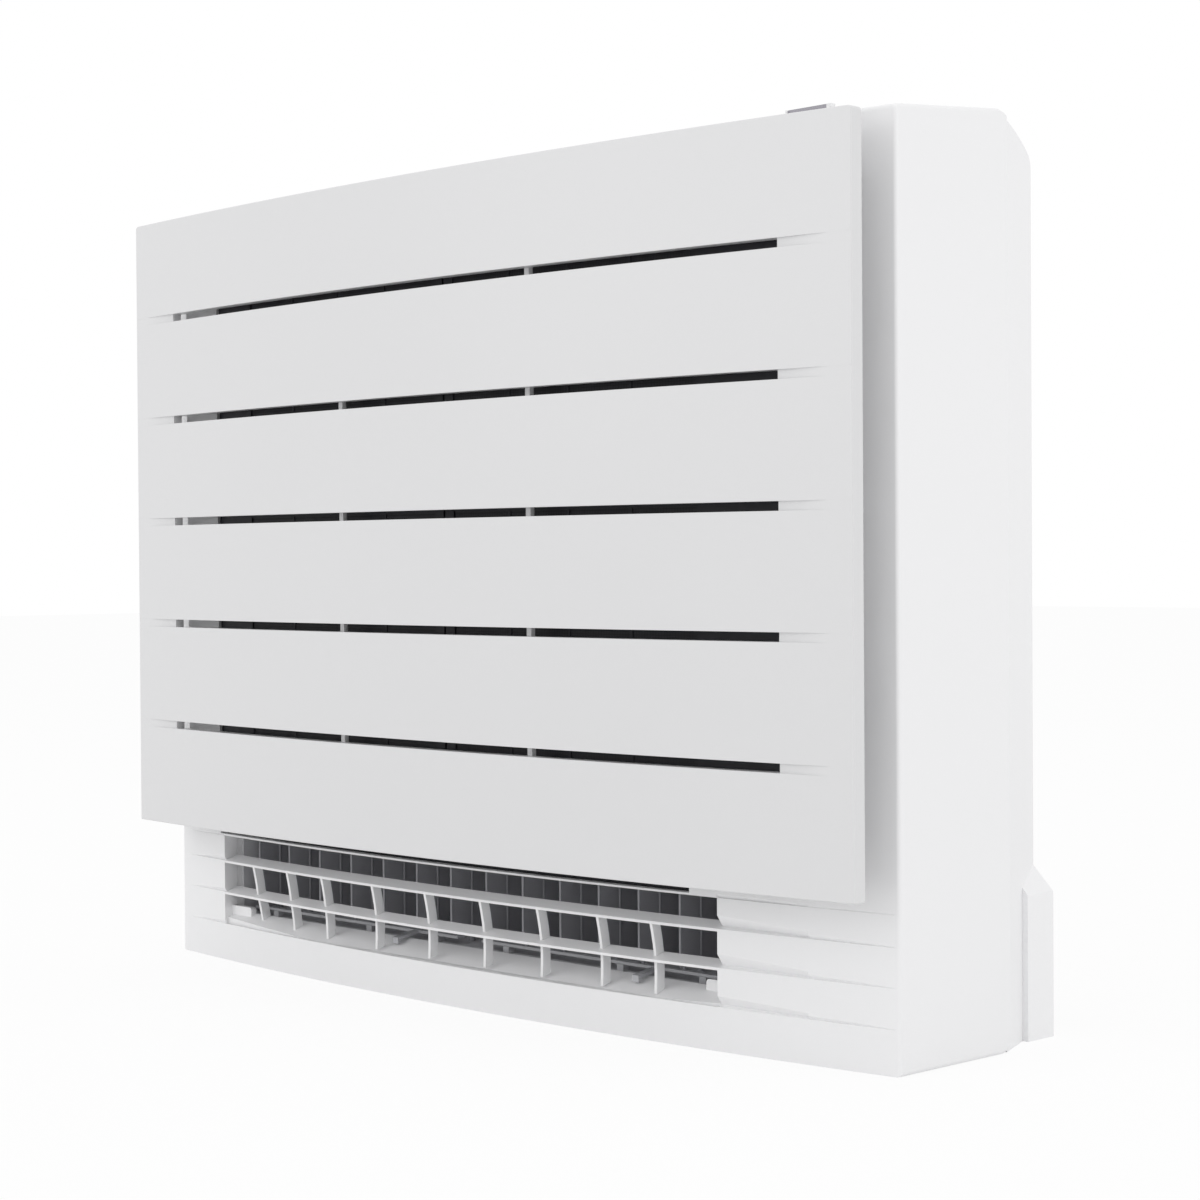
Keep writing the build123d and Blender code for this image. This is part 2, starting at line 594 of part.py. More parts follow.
def outlet_bar(z):
    """Level bar that follows the bow; it rises from its front edge to its back edge."""
    low, high = z - BAR_THICK / 2, z + BAR_THICK / 2
    section = [(0.2, low), (BAR_DEPTH, low + BAR_RISE), (BAR_DEPTH, high + BAR_RISE), (0.2, high)]
    return BODY.turned(OUTLET_X0 - 2, OUTLET_X1 + 2, section)


def post(k, x):
    """One upright post: it leans back below the upper bar, and at the left end below the lower bar too."""
    face = BODY.y(x)
    lean_on = SPREAD_LEAN * max(SPREAD_POSTS - k, 0) / SPREAD_POSTS
    spans = ((BAR_Z[0], 1.0, BAR_Z[1], POST_LEAN), (BAR_Z[1], POST_LEAN, OUTLET_Z0, POST_LEAN + lean_on))
    parts = Part()
    for z_top, set_top, z_low, set_low in spans:
        sets = (set_top, (set_top + set_low) / 2 + POST_HOLLOW, set_low)
        rise = BAR_RISE / BAR_DEPTH
        tops = (z_top, (z_top + z_low) / 2, z_low)
        front = ThreePointArc(*[(face + d, z + rise * d) for d, z in zip(sets, tops)])
        deep = [d + POST_DEPTH for d in reversed(sets)]
        back = ThreePointArc(*[(face + d, z + rise * d) for d, z in zip(deep, reversed(tops))])
        outline = [front, Line(front @ 1, back @ 0), back, Line(back @ 1, front @ 0)]
        edges = [edge for part in outline for edge in part.edges()]
        parts += side_profile(x - POST_THICK / 2, x + POST_THICK / 2, edges)
    return parts


def relief_wedge(x0, depth0, x1, depth1, z):
    """Wedge cut over a ledge at height z; its depth changes from depth0 at x0 to depth1 at x1."""
    sections = []
    for x, depth in ((x0, depth0), (x1, depth1)):
        face = BODY.y(x)
        ahead = face - RELIEF_AHEAD
        slope = BAR_RISE / BAR_DEPTH
        rise = RELIEF_HEIGHT / RELIEF_DEPTH * (depth + RELIEF_AHEAD)
        points = [(face + depth, z + slope * depth), (ahead, z - slope * RELIEF_AHEAD), (ahead, z + rise)]
        sections.append(Plane.YZ.offset(x) * make_face(Polyline(*points, close=True).edges()))
    return loft(sections, ruled=True)


def relief_lines(shell):
    """Ledges that carry the bar lines on past the outlet, and the recess under the panel."""
    top = OUTLET_Z1 + RELIEF_HEIGHT + WALL
    step_x, end_x = OUTLET_X1 + RELIEF_STEP * RELIEF_RIGHT, OUTLET_X1 + RELIEF_RIGHT
    left_x = OUTLET_X0 - RELIEF_LEFT
    shell += BODY.slab(OUTLET_X1, end_x, OUTLET_Z0 - WALL, top, 1, RELIEF_DEPTH + WALL)
    shell += BODY.slab(left_x, OUTLET_X0, OUTLET_Z0 - WALL, top, 1, RELIEF_DEPTH / 2 + WALL)
    for z, share in ((OUTLET_Z1, 0.25), *[(bar + BAR_THICK / 2, 1.0) for bar in BAR_Z], (OUTLET_Z0, 0.8)):
        deep = RELIEF_DEPTH * share
        shell -= relief_wedge(OUTLET_X1 - 0.1, deep, step_x, deep / 2, z)
        shell -= relief_wedge(step_x, deep * 0.3, end_x, RELIEF_END, z)
        shell -= relief_wedge(OUTLET_X0 + 0.1, deep / 3, left_x, 0.03, z)
    low, high = OUTLET_Z1 + RECESS_LIP, OUTLET_Z1 + RECESS_LIP + RECESS_HEIGHT
    recess = BODY.slab(RECESS_X0, RECESS_X1, low, high, -1, RECESS_DEPTH)
    backing = BODY.slab(RECESS_X0 - 2, RECESS_X1 + 2, OUTLET_Z1, high + 2, 1, RECESS_DEPTH + 2)
    keep_open = BODY.block(OUTLET_X0, OUTLET_X1, OUTLET_Z0, OUTLET_Z1, -2, GRILLE_BACK_Y + 1)
    return shell + (backing - keep_open) - recess


def outlet_seal():
    """Dark foam strip in the recess over the outlet."""
    low = OUTLET_Z1 + RECESS_LIP
    return BODY.slab(RECESS_X0 + CLEAR, RECESS_X1 - CLEAR, low, low + RECESS_HEIGHT,
                     RECESS_DEPTH - SEAL_THICK, RECESS_DEPTH)


def top_openings(shell):
    """Upper outlet, button hole and display seat in the sloping top."""
    low, tall = HEIGHT - 25, HEIGHT + 5
    side0, side1 = OUTLET_X0 + FLAP_SIDE, OUTLET_X1 - FLAP_SIDE
    shell -= block(side0, side1, FLAP_Y0 - FLAP_GAP, FLAP_PIVOT_Y + FLAP_THICK + FLAP_GAP, low, tall)
    y, z = FLAP_PIVOT_Y, flap_pivot_z()
    for x0, x1 in ((OUTLET_X0 - 2, side0), (side1, OUTLET_X1 + 2)):
        shell += block(x0, x1, y - PIVOT_R - 2, y + PIVOT_R + 2, z - PIVOT_R - 1.8, under_top_z(y - 4) + 1)
        shell -= rod_x(PIVOT_R + RUNNING, x0, x1, y, z)
    shell -= block(OUTLET_X1 + 2, OUTLET_X1 + WALL + MOTOR_LENGTH + CLEAR, y - PIVOT_R - WALL,
                   y + PIVOT_R + WALL, low, z + PIVOT_R + CLEAR)
    shell -= rod_z(BUTTON_R + CLEAR, BUTTON_X, BUTTON_Y, low, tall)
    inset = DISPLAY_INSET
    return shell - block(DISPLAY_X0 + inset, DISPLAY_X1 - inset, DISPLAY_Y0 + inset, DISPLAY_Y1 - inset,
                         low, tall)


def display_window():
    """Smoked window that stands on the top's front edge, with a foot through the shell."""
    low = top_z(DISPLAY_Y0)
    high = low + DISPLAY_RISE
    points = [(DISPLAY_Y0, low), (DISPLAY_Y1, top_z(DISPLAY_Y1)), (DISPLAY_Y1, high), (DISPLAY_Y0 + 1, high)]
    window = side_polygon(DISPLAY_X0, DISPLAY_X1, points)
    inset = DISPLAY_INSET + CLEAR
    return window + block(DISPLAY_X0 + inset, DISPLAY_X1 - inset, DISPLAY_Y0 + inset, DISPLAY_Y1 - inset,
                          low - 6, low + 2)


def shell_details(shell):
    """Hinge brackets, locating ribs for the rear casing, and the switch slot."""
    for side in (-1, 1):
        x0, x1 = sorted((side * (HINGE_X - HINGE_EYE_LENGTH / 2), side * (HINGE_X + HINGE_EYE_LENGTH / 2)))
        bracket = block(x0, x1, HINGE_Y, BODY.y(x0, 1), HINGE_Z - HINGE_EYE_R, HINGE_Z + HINGE_EYE_R)
        bracket += rod_x(HINGE_EYE_R, x0, x1, HINGE_Y, HINGE_Z)
        shell += bracket & BODY.block(x0, x1, 0, HEIGHT, -FLOAT_GAP, BODY.y(0, 1) + 30)
        shell -= rod_x(HINGE_PIN_R + RUNNING, x0 - 9, x1 + 1, HINGE_Y, HINGE_Z)
        for z in (INTAKE_Z0 + 2, FAN_Z - 7, INTAKE_Z1 - 44):
            r0, r1 = sorted((side * CASING_HALF, side * (BODY_HALF - 1)))
            shell += block(r0, r1, CASING_LIP_Y + 5, SHELL_BACK_Y - 4, z - 2, z + 2)
    slot_y = BODY.y(SWITCH_X)
    return shell - block(SWITCH_X - 2 - CLEAR, SWITCH_X + 2 + CLEAR, slot_y - 8, slot_y + 8,
                         SWITCH_Z - 5 - SWITCH_TRAVEL, SWITCH_Z + 5 + SWITCH_TRAVEL)


# ---- Filters -------------------------------------------------------------------------------------
def air_filter(side):
    """Curved filter frame with a wide outer margin, cross bars and a thin mesh sheet."""
    x0, x1 = sorted((side * FILTER_GAP, side * FILTER_HALF))
    in0, in1 = sorted((side * (FILTER_GAP + FILTER_RIM), side * (FILTER_HALF - FILTER_SIDE)))
    z0, z1 = INTAKE_Z0 + WALL, INTAKE_Z1 - WALL - CLEAR
    front, back = FILTER_DEPTH, FILTER_DEPTH + FILTER_THICK
    frame = PANEL.slab(x0, x1, z0, z1, front, back)
    frame -= PANEL.slab(in0, in1, z0 + FILTER_RIM, z1 - FILTER_RIM, front - 1, back + 1)
    frame += PANEL.slab(in0 - 1, in1 + 1, z0 + 2, z1 - 2, front + 1.2, front + 1.8)
    half = FILTER_BAR / 2
    for k in range(1, FILTER_COLUMNS):
        x = in0 + (in1 - in0) * k / FILTER_COLUMNS
        frame += PANEL.slab(x - half, x + half, z0 + 1, z1 - 1, front + 0.5, back - 0.3)
    for k in range(1, FILTER_ROWS):
        z = z0 + (z1 - z0) * k / FILTER_ROWS
        frame += PANEL.slab(in0 - 1, in1 + 1, z - half, z + half, front + 0.5, back - 0.3)
    return frame


def deodoriser(side):
    """Flat cassette with a honeycomb of square cells, clipped behind an air filter."""
    x0 = side * DEODORISER_X - DEODORISER_WIDTH / 2
    y0 = PANEL.y(DEODORISER_X + DEODORISER_WIDTH / 2, FILTER_DEPTH + FILTER_THICK)
    z0 = DEODORISER_Z0
    cassette = block(x0, x0 + DEODORISER_WIDTH, y0, y0 + DEODORISER_THICK, z0, z0 + DEODORISER_HEIGHT)
    step_x = (DEODORISER_WIDTH - 2 * CELL_WALL) / CELL_COLUMNS
    step_z = (DEODORISER_HEIGHT - 2 * CELL_WALL) / CELL_ROWS
    first = Pos(x0 + CELL_WALL, y0 + DEODORISER_THICK / 2, z0 + CELL_WALL)
    cell = Box(step_x - CELL_WALL, DEODORISER_THICK + 2, step_z - CELL_WALL)
    cells = [first * Pos(step_x * (i + 0.5), 0, step_z * (k + 0.5)) * cell
             for i in range(CELL_COLUMNS) for k in range(CELL_ROWS)]
    return cassette - cells


# ---- Rear casing ---------------------------------------------------------------------------------
def rear_casing():
    lip, low = CASING_LIP_Y, WALL + CLEAR
    bend_y = Y_WALL - BACK_ROUND
    crown = ThreePointArc((SHELL_BACK_Y, TOP_BACK_Z), (CROWN_Y, CROWN_Z), (bend_y, BACK_ROUND_Z))
    corner = ThreePointArc((bend_y, BACK_ROUND_Z), (Y_WALL - 2, BACK_ROUND_Z - 4), (Y_WALL, BACK_TOP_Z))
    rest = Polyline((Y_WALL, BACK_TOP_Z), (Y_WALL, 0), (lip, 0), (lip, CASING_LIP_Z),
                    (SHELL_BACK_Y, CASING_LIP_Z), (SHELL_BACK_Y, TOP_BACK_Z))
    edges = [edge for part in (crown, corner, rest) for edge in part.edges()]
    half = CASING_SHOULDER_HALF
    casing = side_profile(-half, half, edges) & casing_plan(0)
    casing -= block(-half - 1, half + 1, lip - 1, SHELL_BACK_Y, -1, low)
    foot = block(-FOOT_HALF, FOOT_HALF, Y_WALL - FOOT_DEPTH, Y_WALL, 0, FOOT_Z)
    foot = chamfer(foot.edges().group_by(Axis.Z)[-1].filter_by(Axis.Y), FOOT_CHAMFER)
    casing += foot
    hollow = [(lip - 1, low + WALL), (BACK_Y, low + WALL), (BACK_Y, BACK_TOP_Z - 1),
              (bend_y - BACK_ROUND, BACK_ROUND_Z - 1), (SHELL_BACK_Y, CASING_LIP_Z - WALL),
              (lip - 1, CASING_LIP_Z - WALL)]
    casing -= side_polygon(-half, half, hollow) & casing_plan(WALL)
    casing -= block(-FOOT_HALF + WALL, FOOT_HALF - WALL, Y_WALL - FOOT_DEPTH + WALL, BACK_Y, low + WALL,
                    FOOT_Z - FOOT_CHAMFER)
    casing = chamber_walls(casing)
    return casing_holes(casing)


def casing_plan(wall):
    """Casing seen from above, drawn in by a wall: straight inside the shell, tapering behind it."""
    step_y = SHELL_BACK_Y + CLEAR + wall
    right = [(CASING_HALF - wall, CASING_LIP_Y - 2), (CASING_HALF - wall, step_y),
             (CASING_SHOULDER_HALF - 1.6 * wall, step_y), (CASING_BACK_HALF - wall, Y_WALL)]
    return plan_polygon(-2, HEIGHT, right + [(-x, y) for x, y in reversed(right)])


def chamber_walls(casing):
    """Inner walls at both sides of the fan chamber, from the bell mouth to the back."""
    low, high = WALL + CLEAR, duct_top_z()
    for x0, x1 in ((OUTLET_X0 - WALL, OUTLET_X0), (OUTLET_X1, OUTLET_X1 + WALL)):
        wall = side_polygon(x0, x1, [(CHAMBER_Y, low), (BACK_Y + 0.5, low), (BACK_Y + 0.5, BACK_TOP_Z - 1),
                                     (Y_WALL - 2 * BACK_ROUND, BACK_ROUND_Z - 0.5), (CROWN_Y - 8, high),
                                     (CHAMBER_Y, high)])
        wall += block(x0, x1, FLAP_Y0 - 4, CHAMBER_Y, CHAMBER_Z1 - 5, high)
        wall += block(x0, x1, GRILLE_BACK_Y + CLEAR, CHAMBER_Y, low, PAN_Z0 - 1)
        casing += wall
    floor = block(OUTLET_X0, OUTLET_X1, GRILLE_BACK_Y + CLEAR, CASING_LIP_Y + 5, low, low + WALL)
    return casing + floor


def casing_holes(casing):
    """Seat and screw holes for the mounting plate, foot screws, pipe opening, pivots and motor pads."""
    half = PLATE_WIDTH / 2
    casing += block(-half - 4, half + 4, BACK_Y - PLATE_THICK, BACK_Y + 1, PLATE_Z0 - 4, PLATE_Z1 + 4)
    casing -= block(-half - CLEAR, half + CLEAR, Y_WALL - PLATE_THICK, Y_WALL + 1, PLATE_Z0 - CLEAR,
                    PLATE_Z1 + CLEAR)
    for x, z in plate_holes():
        casing -= rod_y(WALL_SCREW_R, x, BACK_Y - 9, Y_WALL + 1, z)
    for x in (-FOOT_SCREW_X, FOOT_SCREW_X):
        casing -= rod_y(FOOT_SCREW_R, x, BACK_Y - 9, Y_WALL + 1, FOOT_SCREW_Z)
    casing -= block(PIPE_OPENING_X0, PIPE_OPENING_X1, BACK_Y - 5, Y_WALL + 1, PIPE_OPENING_Z0,
                    PIPE_OPENING_Z1)
    casing -= rod_x(PIVOT_R + RUNNING, OUTLET_X0 - 6, OUTLET_X1 + 6, DAMPER_Y, DAMPER_Z)
    for x, z in motor_screws():
        casing += rod_y(6, x, MOTOR_Y1 - 1, BACK_Y + 0.5, z)
        casing -= rod_y(CLAMP_SCREW_R, x, MOTOR_Y1 - 2, BACK_Y, z)
    return casing


def plate_holes():
    """(x, z) of the four wall screws."""
    middle = (PLATE_Z0 + PLATE_Z1) / 2
    return [(x, middle + dz) for x in (-PLATE_HOLE_X / 2, PLATE_HOLE_X / 2)
            for dz in (-PLATE_HOLE_Z / 2, PLATE_HOLE_Z / 2)]


def mounting_plate():
    """Steel plate that the wall screws hold, seated in the casing's back."""
    plate = block(-PLATE_WIDTH / 2, PLATE_WIDTH / 2, Y_WALL - PLATE_THICK, Y_WALL, PLATE_Z0, PLATE_Z1)
    for x, z in plate_holes():
        plate -= rod_y(WALL_SCREW_R, x, Y_WALL - 5, Y_WALL + 1, z)
    return fillet(plate.edges().filter_by(Axis.Y).filter_by(GeomType.LINE), 6)


# ---- Heat exchanger ------------------------------------------------------------------------------
def tube_places():
    """(y, z) of every straight run, row by row."""
    step_y = (COIL_Y1 - COIL_Y0) / TUBE_ROWS
    step_z = (COIL_Z1 - COIL_Z0) / TUBE_RUNS
    return [[(COIL_Y0 + step_y * (row + 0.5), COIL_Z0 + step_z * (run + 0.5)) for run in range(TUBE_RUNS)]
            for row in range(TUBE_ROWS)]


def coil_fins():
    """Fin pack with fine upright grooves and a bore for each tube."""
    pack = block(COIL_X0, COIL_X1, COIL_Y0, COIL_Y1, COIL_Z0, COIL_Z1)
    step, half = (COIL_X1 - COIL_X0) / (GROOVES + 1), GROOVE_WIDTH / 2
    sides = ((COIL_Y0 - 1, COIL_Y0 + GROOVE_CUT), (COIL_Y1 - GROOVE_CUT, COIL_Y1 + 1))
    cuts = [block(x - half, x + half, y0, y1, COIL_Z0 - 1, COIL_Z1 + 1)
            for x in [COIL_X0 + step * k for k in range(1, GROOVES + 1)] for y0, y1 in sides]
    bores = [rod_x(TUBE_R, COIL_X0 - 1, COIL_X1 + 1, y, z) for row in tube_places() for y, z in row]
    return pack - cuts - bores


def coil_end_plates():
    """Steel plates at both ends of the fin pack; they reach back to the bell mouth."""
    plates = []
    for x0 in (COIL_X0 - END_THICK, COIL_X1):
        plate = block(x0, x0 + END_THICK, COIL_Y0 - 2, CHAMBER_Y, COIL_Z0, COIL_Z1)
        plate -= [rod_x(TUBE_R + CLEAR / 3, x0 - 1, x0 + END_THICK + 1, y, z)
                  for row in tube_places() for y, z in row]
        plate -= block(x0 - 1, x0 + END_THICK + 1, PAN_Y1 - SHEET - CLEAR, CHAMBER_Y + 1, COIL_Z0 - 1,
                       PAN_Z1 + CLEAR)
        plates.append(plate)
    return plates


def coil_tubes():
    """One tube: down through the front row, round the bottom bend and up through the back row."""
    left, right = COIL_X0 - END_THICK - 1, COIL_X1 + END_THICK + 1
    front_row, back_row = tube_places()
    places = [*reversed(front_row), *back_row]
    parts, here = [], right
    for k, (y, z) in enumerate(places):
        there = left if here == right else right
        parts.append(Line((here, y, z), (there, y, z)))
        if k < len(places) - 1:
            y_next, z_next = places[k + 1]
            reach = max(abs(y_next - y), abs(z_next - z)) / 2
            bulge = there + reach if there == right else there - reach
            middle = (bulge, (y + y_next) / 2, (z + z_next) / 2)
            parts.append(ThreePointArc((there, y, z), middle, (there, y_next, z_next)))
        here = there
    return tube_along(Wire([edge for part in parts for edge in part.edges()]), TUBE_R)


def tube_along(path, radius):
    """Round solid tube along a path."""
    return sweep(Plane(origin=path @ 0, z_dir=path % 0) * Circle(radius), path=path)


def drain_pan():
    """Trough under the fin pack, with support ribs and the drain stub."""
    x0, x1 = OUTLET_X0 + CLEAR, OUTLET_X1 - CLEAR
    pan = block(x0, x1, PAN_Y0, PAN_Y1, PAN_Z0, PAN_Z1)
    pan -= block(x0 + SHEET, x1 - SHEET, PAN_Y0 + SHEET, PAN_Y1 - SHEET, PAN_Z0 + SHEET, PAN_Z1 + 1)
    for k in range(PAN_RIBS):
        x = COIL_X0 + 20 + (COIL_X1 - COIL_X0 - 40) * k / (PAN_RIBS - 1)
        pan += block(x - 1.5, x + 1.5, PAN_Y0 + 1, PAN_Y1 - 1, PAN_Z0 + 1, COIL_Z0)
    for x in (COIL_X0 - 1, COIL_X1 - 1):
        pan += block(x - 0.5, x + 2.5, PAN_Y0 + 1, PAN_Y1 - 1, PAN_Z0 + 1, COIL_Z0)
    pan += rod_x(STUB_R, x1 - 1, x1 + STUB_LENGTH, DRAIN_Y, STUB_Z)
    return pan - rod_x(STUB_R - SHEET, x1 - 3, x1 + STUB_LENGTH + 1, DRAIN_Y, STUB_Z)


def drain_hose():
    """Hose from the pan's stub down and back to the pipe opening."""
    start_x = OUTLET_X1 + WALL - CLEAR
    points = [(start_x, DRAIN_Y, STUB_Z), (DRAIN_X, DRAIN_Y, STUB_Z), (DRAIN_X, DRAIN_Y + 30, DRAIN_KNEE_Z),
              (DRAIN_X, PIPE_END_Y - 53, DRAIN_END_Z), (DRAIN_X, PIPE_END_Y, DRAIN_END_Z)]
    hose = tube_along(FilletPolyline(*points, radius=(5, 14, 20)), DRAIN_R - 1)
    hose -= rod_x(STUB_R + RUNNING, start_x - 1, OUTLET_X1 + STUB_LENGTH, DRAIN_Y, STUB_Z)
    hose += rod_y(DRAIN_R, DRAIN_X, PIPE_END_Y - 22, PIPE_END_Y, DRAIN_END_Z)
    return hose - rod_y(DRAIN_R - WALL, DRAIN_X, PIPE_END_Y - 18, PIPE_END_Y + 1, DRAIN_END_Z)


# ---- Fan -----------------------------------------------------------------------------------------
def bell_mouth():
    """Plate in front of the fan with a flared inlet ring."""
    plate = block(OUTLET_X0, OUTLET_X1, CHAMBER_Y, CHAMBER_Y + WALL, CHAMBER_Z0, CHAMBER_Z1)
    plate += rod_y(INLET_R + WALL, AIR_MID, CHAMBER_Y, FAN_Y0 + 4, FAN_Z)
    plate += cone_y(INLET_R + FLARE + WALL, INLET_R + WALL, CHAMBER_Y, CHAMBER_Y + FLARE)
    cut = rod_y(INLET_R, AIR_MID, CHAMBER_Y - 1, FAN_Y0 + 5, FAN_Z)
    return plate - cut - cone_y(INLET_R + FLARE, INLET_R, CHAMBER_Y, CHAMBER_Y + FLARE)


def cone_y(radius0, radius1, y0, y1):
    """Cone along the fan's axis."""
    turned = Rot(-90, 0, 0) * Cone(radius0, radius1, y1 - y0, align=(Align.CENTER, Align.CENTER, Align.MIN))
    return Pos(AIR_MID, y0, FAN_Z) * turned


def fan_wheel():
    """Centrifugal wheel: back plate, hub, curved blades and front shroud ring."""
    wheel = rod_y(FAN_R, AIR_MID, FAN_Y1 - DISC, FAN_Y1, FAN_Z)
    shroud = rod_y(FAN_R, AIR_MID, FAN_Y0, FAN_Y0 + DISC, FAN_Z)
    shroud -= rod_y(INLET_R + WALL + 4, AIR_MID, FAN_Y0 - 1, FAN_Y0 + DISC + 1, FAN_Z)
    wheel += shroud
    wheel += rod_y(HUB_R, AIR_MID, FAN_Y1 - HUB_LENGTH, FAN_Y1, FAN_Z)
    for k in range(BLADES):
        wheel += Pos(AIR_MID, FAN_Y0, FAN_Z) * Rot(0, 360 / BLADES * k, 0) * blade()
    return wheel - rod_y(SHAFT_R, AIR_MID, FAN_Y1 - HUB_LENGTH - 1, FAN_Y1 + 1, FAN_Z)


def blade():
    """One backward-curved blade about the Y axis, from the front shroud to the back plate."""
    inner, outer = INLET_R + 6, FAN_R - 2
    turn = radians(BLADE_SWEEP)
    half = turn / 2
    ends = [(inner, 0.0), ((inner + outer) / 2 + 4, half * 0.62), (outer, turn * 0.72)]
    line = ThreePointArc(*[(r * cos(a), r * sin(a)) for r, a in ends])
    face = trace(line, BLADE_THICK)
    solid = extrude(face, amount=FAN_Y1 - FAN_Y0 - 2, dir=(0, 0, 1))
    return Rot(-90, 0, 0) * (Pos(0, 0, 1) * solid)


def motor_shaft():
    """Shaft of the fan motor, with a collar behind the wheel."""
    shaft = rod_y(SHAFT_R, AIR_MID, FAN_Y1 - HUB_LENGTH - 12, MOTOR_Y1 - 4, FAN_Z)
    return shaft + rod_y(SHAFT_R + 3, AIR_MID, FAN_Y1, FAN_Y1 + 2.5, FAN_Z)


def shaft_nut():
    """Nut that holds the wheel on the shaft."""
    y1 = FAN_Y1 - HUB_LENGTH
    nut = Pos(AIR_MID, y1 - 7, FAN_Z) * Rot(-90, 0, 0) * extrude(RegularPolygon(8, 6), amount=7)
    return nut - rod_y(SHAFT_R, AIR_MID, y1 - 8, y1 + 1, FAN_Z)


def fan_motor():
    """Round motor can with a bearing bore for the shaft."""
    can = rod_y(MOTOR_R, AIR_MID, MOTOR_Y0, MOTOR_Y1, FAN_Z)
    can = fillet(can.edges(), 3)
    bore = rod_y(SHAFT_R + RUNNING, AIR_MID, MOTOR_Y0 - 1, MOTOR_Y1 - 3, FAN_Z)
    return can - bore


def motor_screws():
    """(x, z) of the three motor screws."""
    return [(AIR_MID + (MOTOR_R + 12) * cos(a), FAN_Z + (MOTOR_R + 12) * sin(a))
            for a in (pi / 2, pi * 7 / 6, pi * 11 / 6)]


def motor_clamp():
    """Steel plate behind the motor that the three screws hold to the casing."""
    y0, y1 = CLAMP_Y0, CLAMP_Y0 + SHEET
    clamp = rod_y(MOTOR_R + 4, AIR_MID, y0, y1, FAN_Z)
    for x, z in motor_screws():
        clamp += rod_y(9, x, y0, y1, z)
    clamp -= rod_y(MOTOR_R, AIR_MID, y0 - 1, y1 + 1, FAN_Z)
    for x, z in motor_screws():
        clamp -= rod_y(BUSH_R, x, y0 - 1, y1 + 1, z)
    return clamp


def motor_bushes():
    """Rubber bushes between the clamp and its screws."""
    y0, y1 = CLAMP_Y0 - SHEET, MOTOR_Y1 - 1.0
    bushes = []
    for x, z in motor_screws():
        bush = rod_y(7, x, y0, CLAMP_Y0, z) + rod_y(BUSH_R, x, y0, y1, z)
        bushes.append(bush - rod_y(CLAMP_SCREW_R, x, y0 - 1, y1 + 1, z))
    return bushes


# ---- Ducts, flap and damper ----------------------------------------------------------------------
def flap_pivot_z():
    return top_z(FLAP_PIVOT_Y) - FLAP_THICK


def duct_top_z():
    """Top of the duct walls, just under the body's top at its lowest place over them."""
    return under_top_z(FLAP_Y0 - 4) - CLEAR


def upper_duct():
    """Duct from the fan chamber to the upper outlet."""
    x0, x1 = OUTLET_X0, OUTLET_X1
    z_top = duct_top_z()
    y_out = FLAP_PIVOT_Y + FLAP_THICK + FLAP_GAP
    front = [(CHAMBER_Y, CHAMBER_Z1), (FLAP_Y0 - 3, CHAMBER_Z1 + 18), (FLAP_Y0 - 3, z_top),
             (FLAP_Y0 - 3 + SHEET, z_top), (FLAP_Y0 - 3 + SHEET, CHAMBER_Z1 + 20),
             (CHAMBER_Y + WALL, CHAMBER_Z1 + 2.5), (CHAMBER_Y + WALL, CHAMBER_Z1)]
    duct = side_polygon(x0, x1, front)
    foot_z, bend_y, bend_z = CHAMBER_Z1 - 46, Y_WALL - 37, CHAMBER_Z1 + 14
    outer = ThreePointArc((BACK_Y - 3, foot_z), (bend_y, bend_z), (y_out, z_top - 8))
    inner = ThreePointArc((y_out, z_top - 10.5), (bend_y - 1.5, bend_z - SHEET), (BACK_Y - 5, foot_z))
    outline = [outer, Line(outer @ 1, inner @ 0), inner, Line(inner @ 1, outer @ 0)]
    duct += side_profile(x0, x1, [edge for part in outline for edge in part.edges()])
    for x in (x0, x1 - SHEET):
        duct += side_polygon(x, x + SHEET, [(CHAMBER_Y + 1, CHAMBER_Z1 + 0.5), (FLAP_Y0 - 2, CHAMBER_Z1 + 19),
                                            (FLAP_Y0 - 2, z_top - 8), (y_out, z_top - 8),
                                            (bend_y - 12, bend_z + 8), (bend_y - 12, bend_z - 12)])
    return duct


def upper_flap():
    """Flap that closes the upper outlet flush with the top; it lifts at its front edge."""
    x0, x1 = OUTLET_X0 + FLAP_SIDE + FLAP_GAP, OUTLET_X1 - FLAP_SIDE - FLAP_GAP
    y0, y1, z1 = FLAP_Y0, FLAP_PIVOT_Y, flap_pivot_z()
    points = [(y0, top_z(y0)), (y1, top_z(y1)), (y1, z1), (y0, top_z(y0) - FLAP_THICK)]
    flap = side_polygon(x0, x1, points) + rod_x(FLAP_THICK, x0, x1, y1, z1)
    return flap + pivot_pins(y1, z1, OUTLET_X0 - 2 + CLEAR, OUTLET_X1 + 2 - CLEAR)


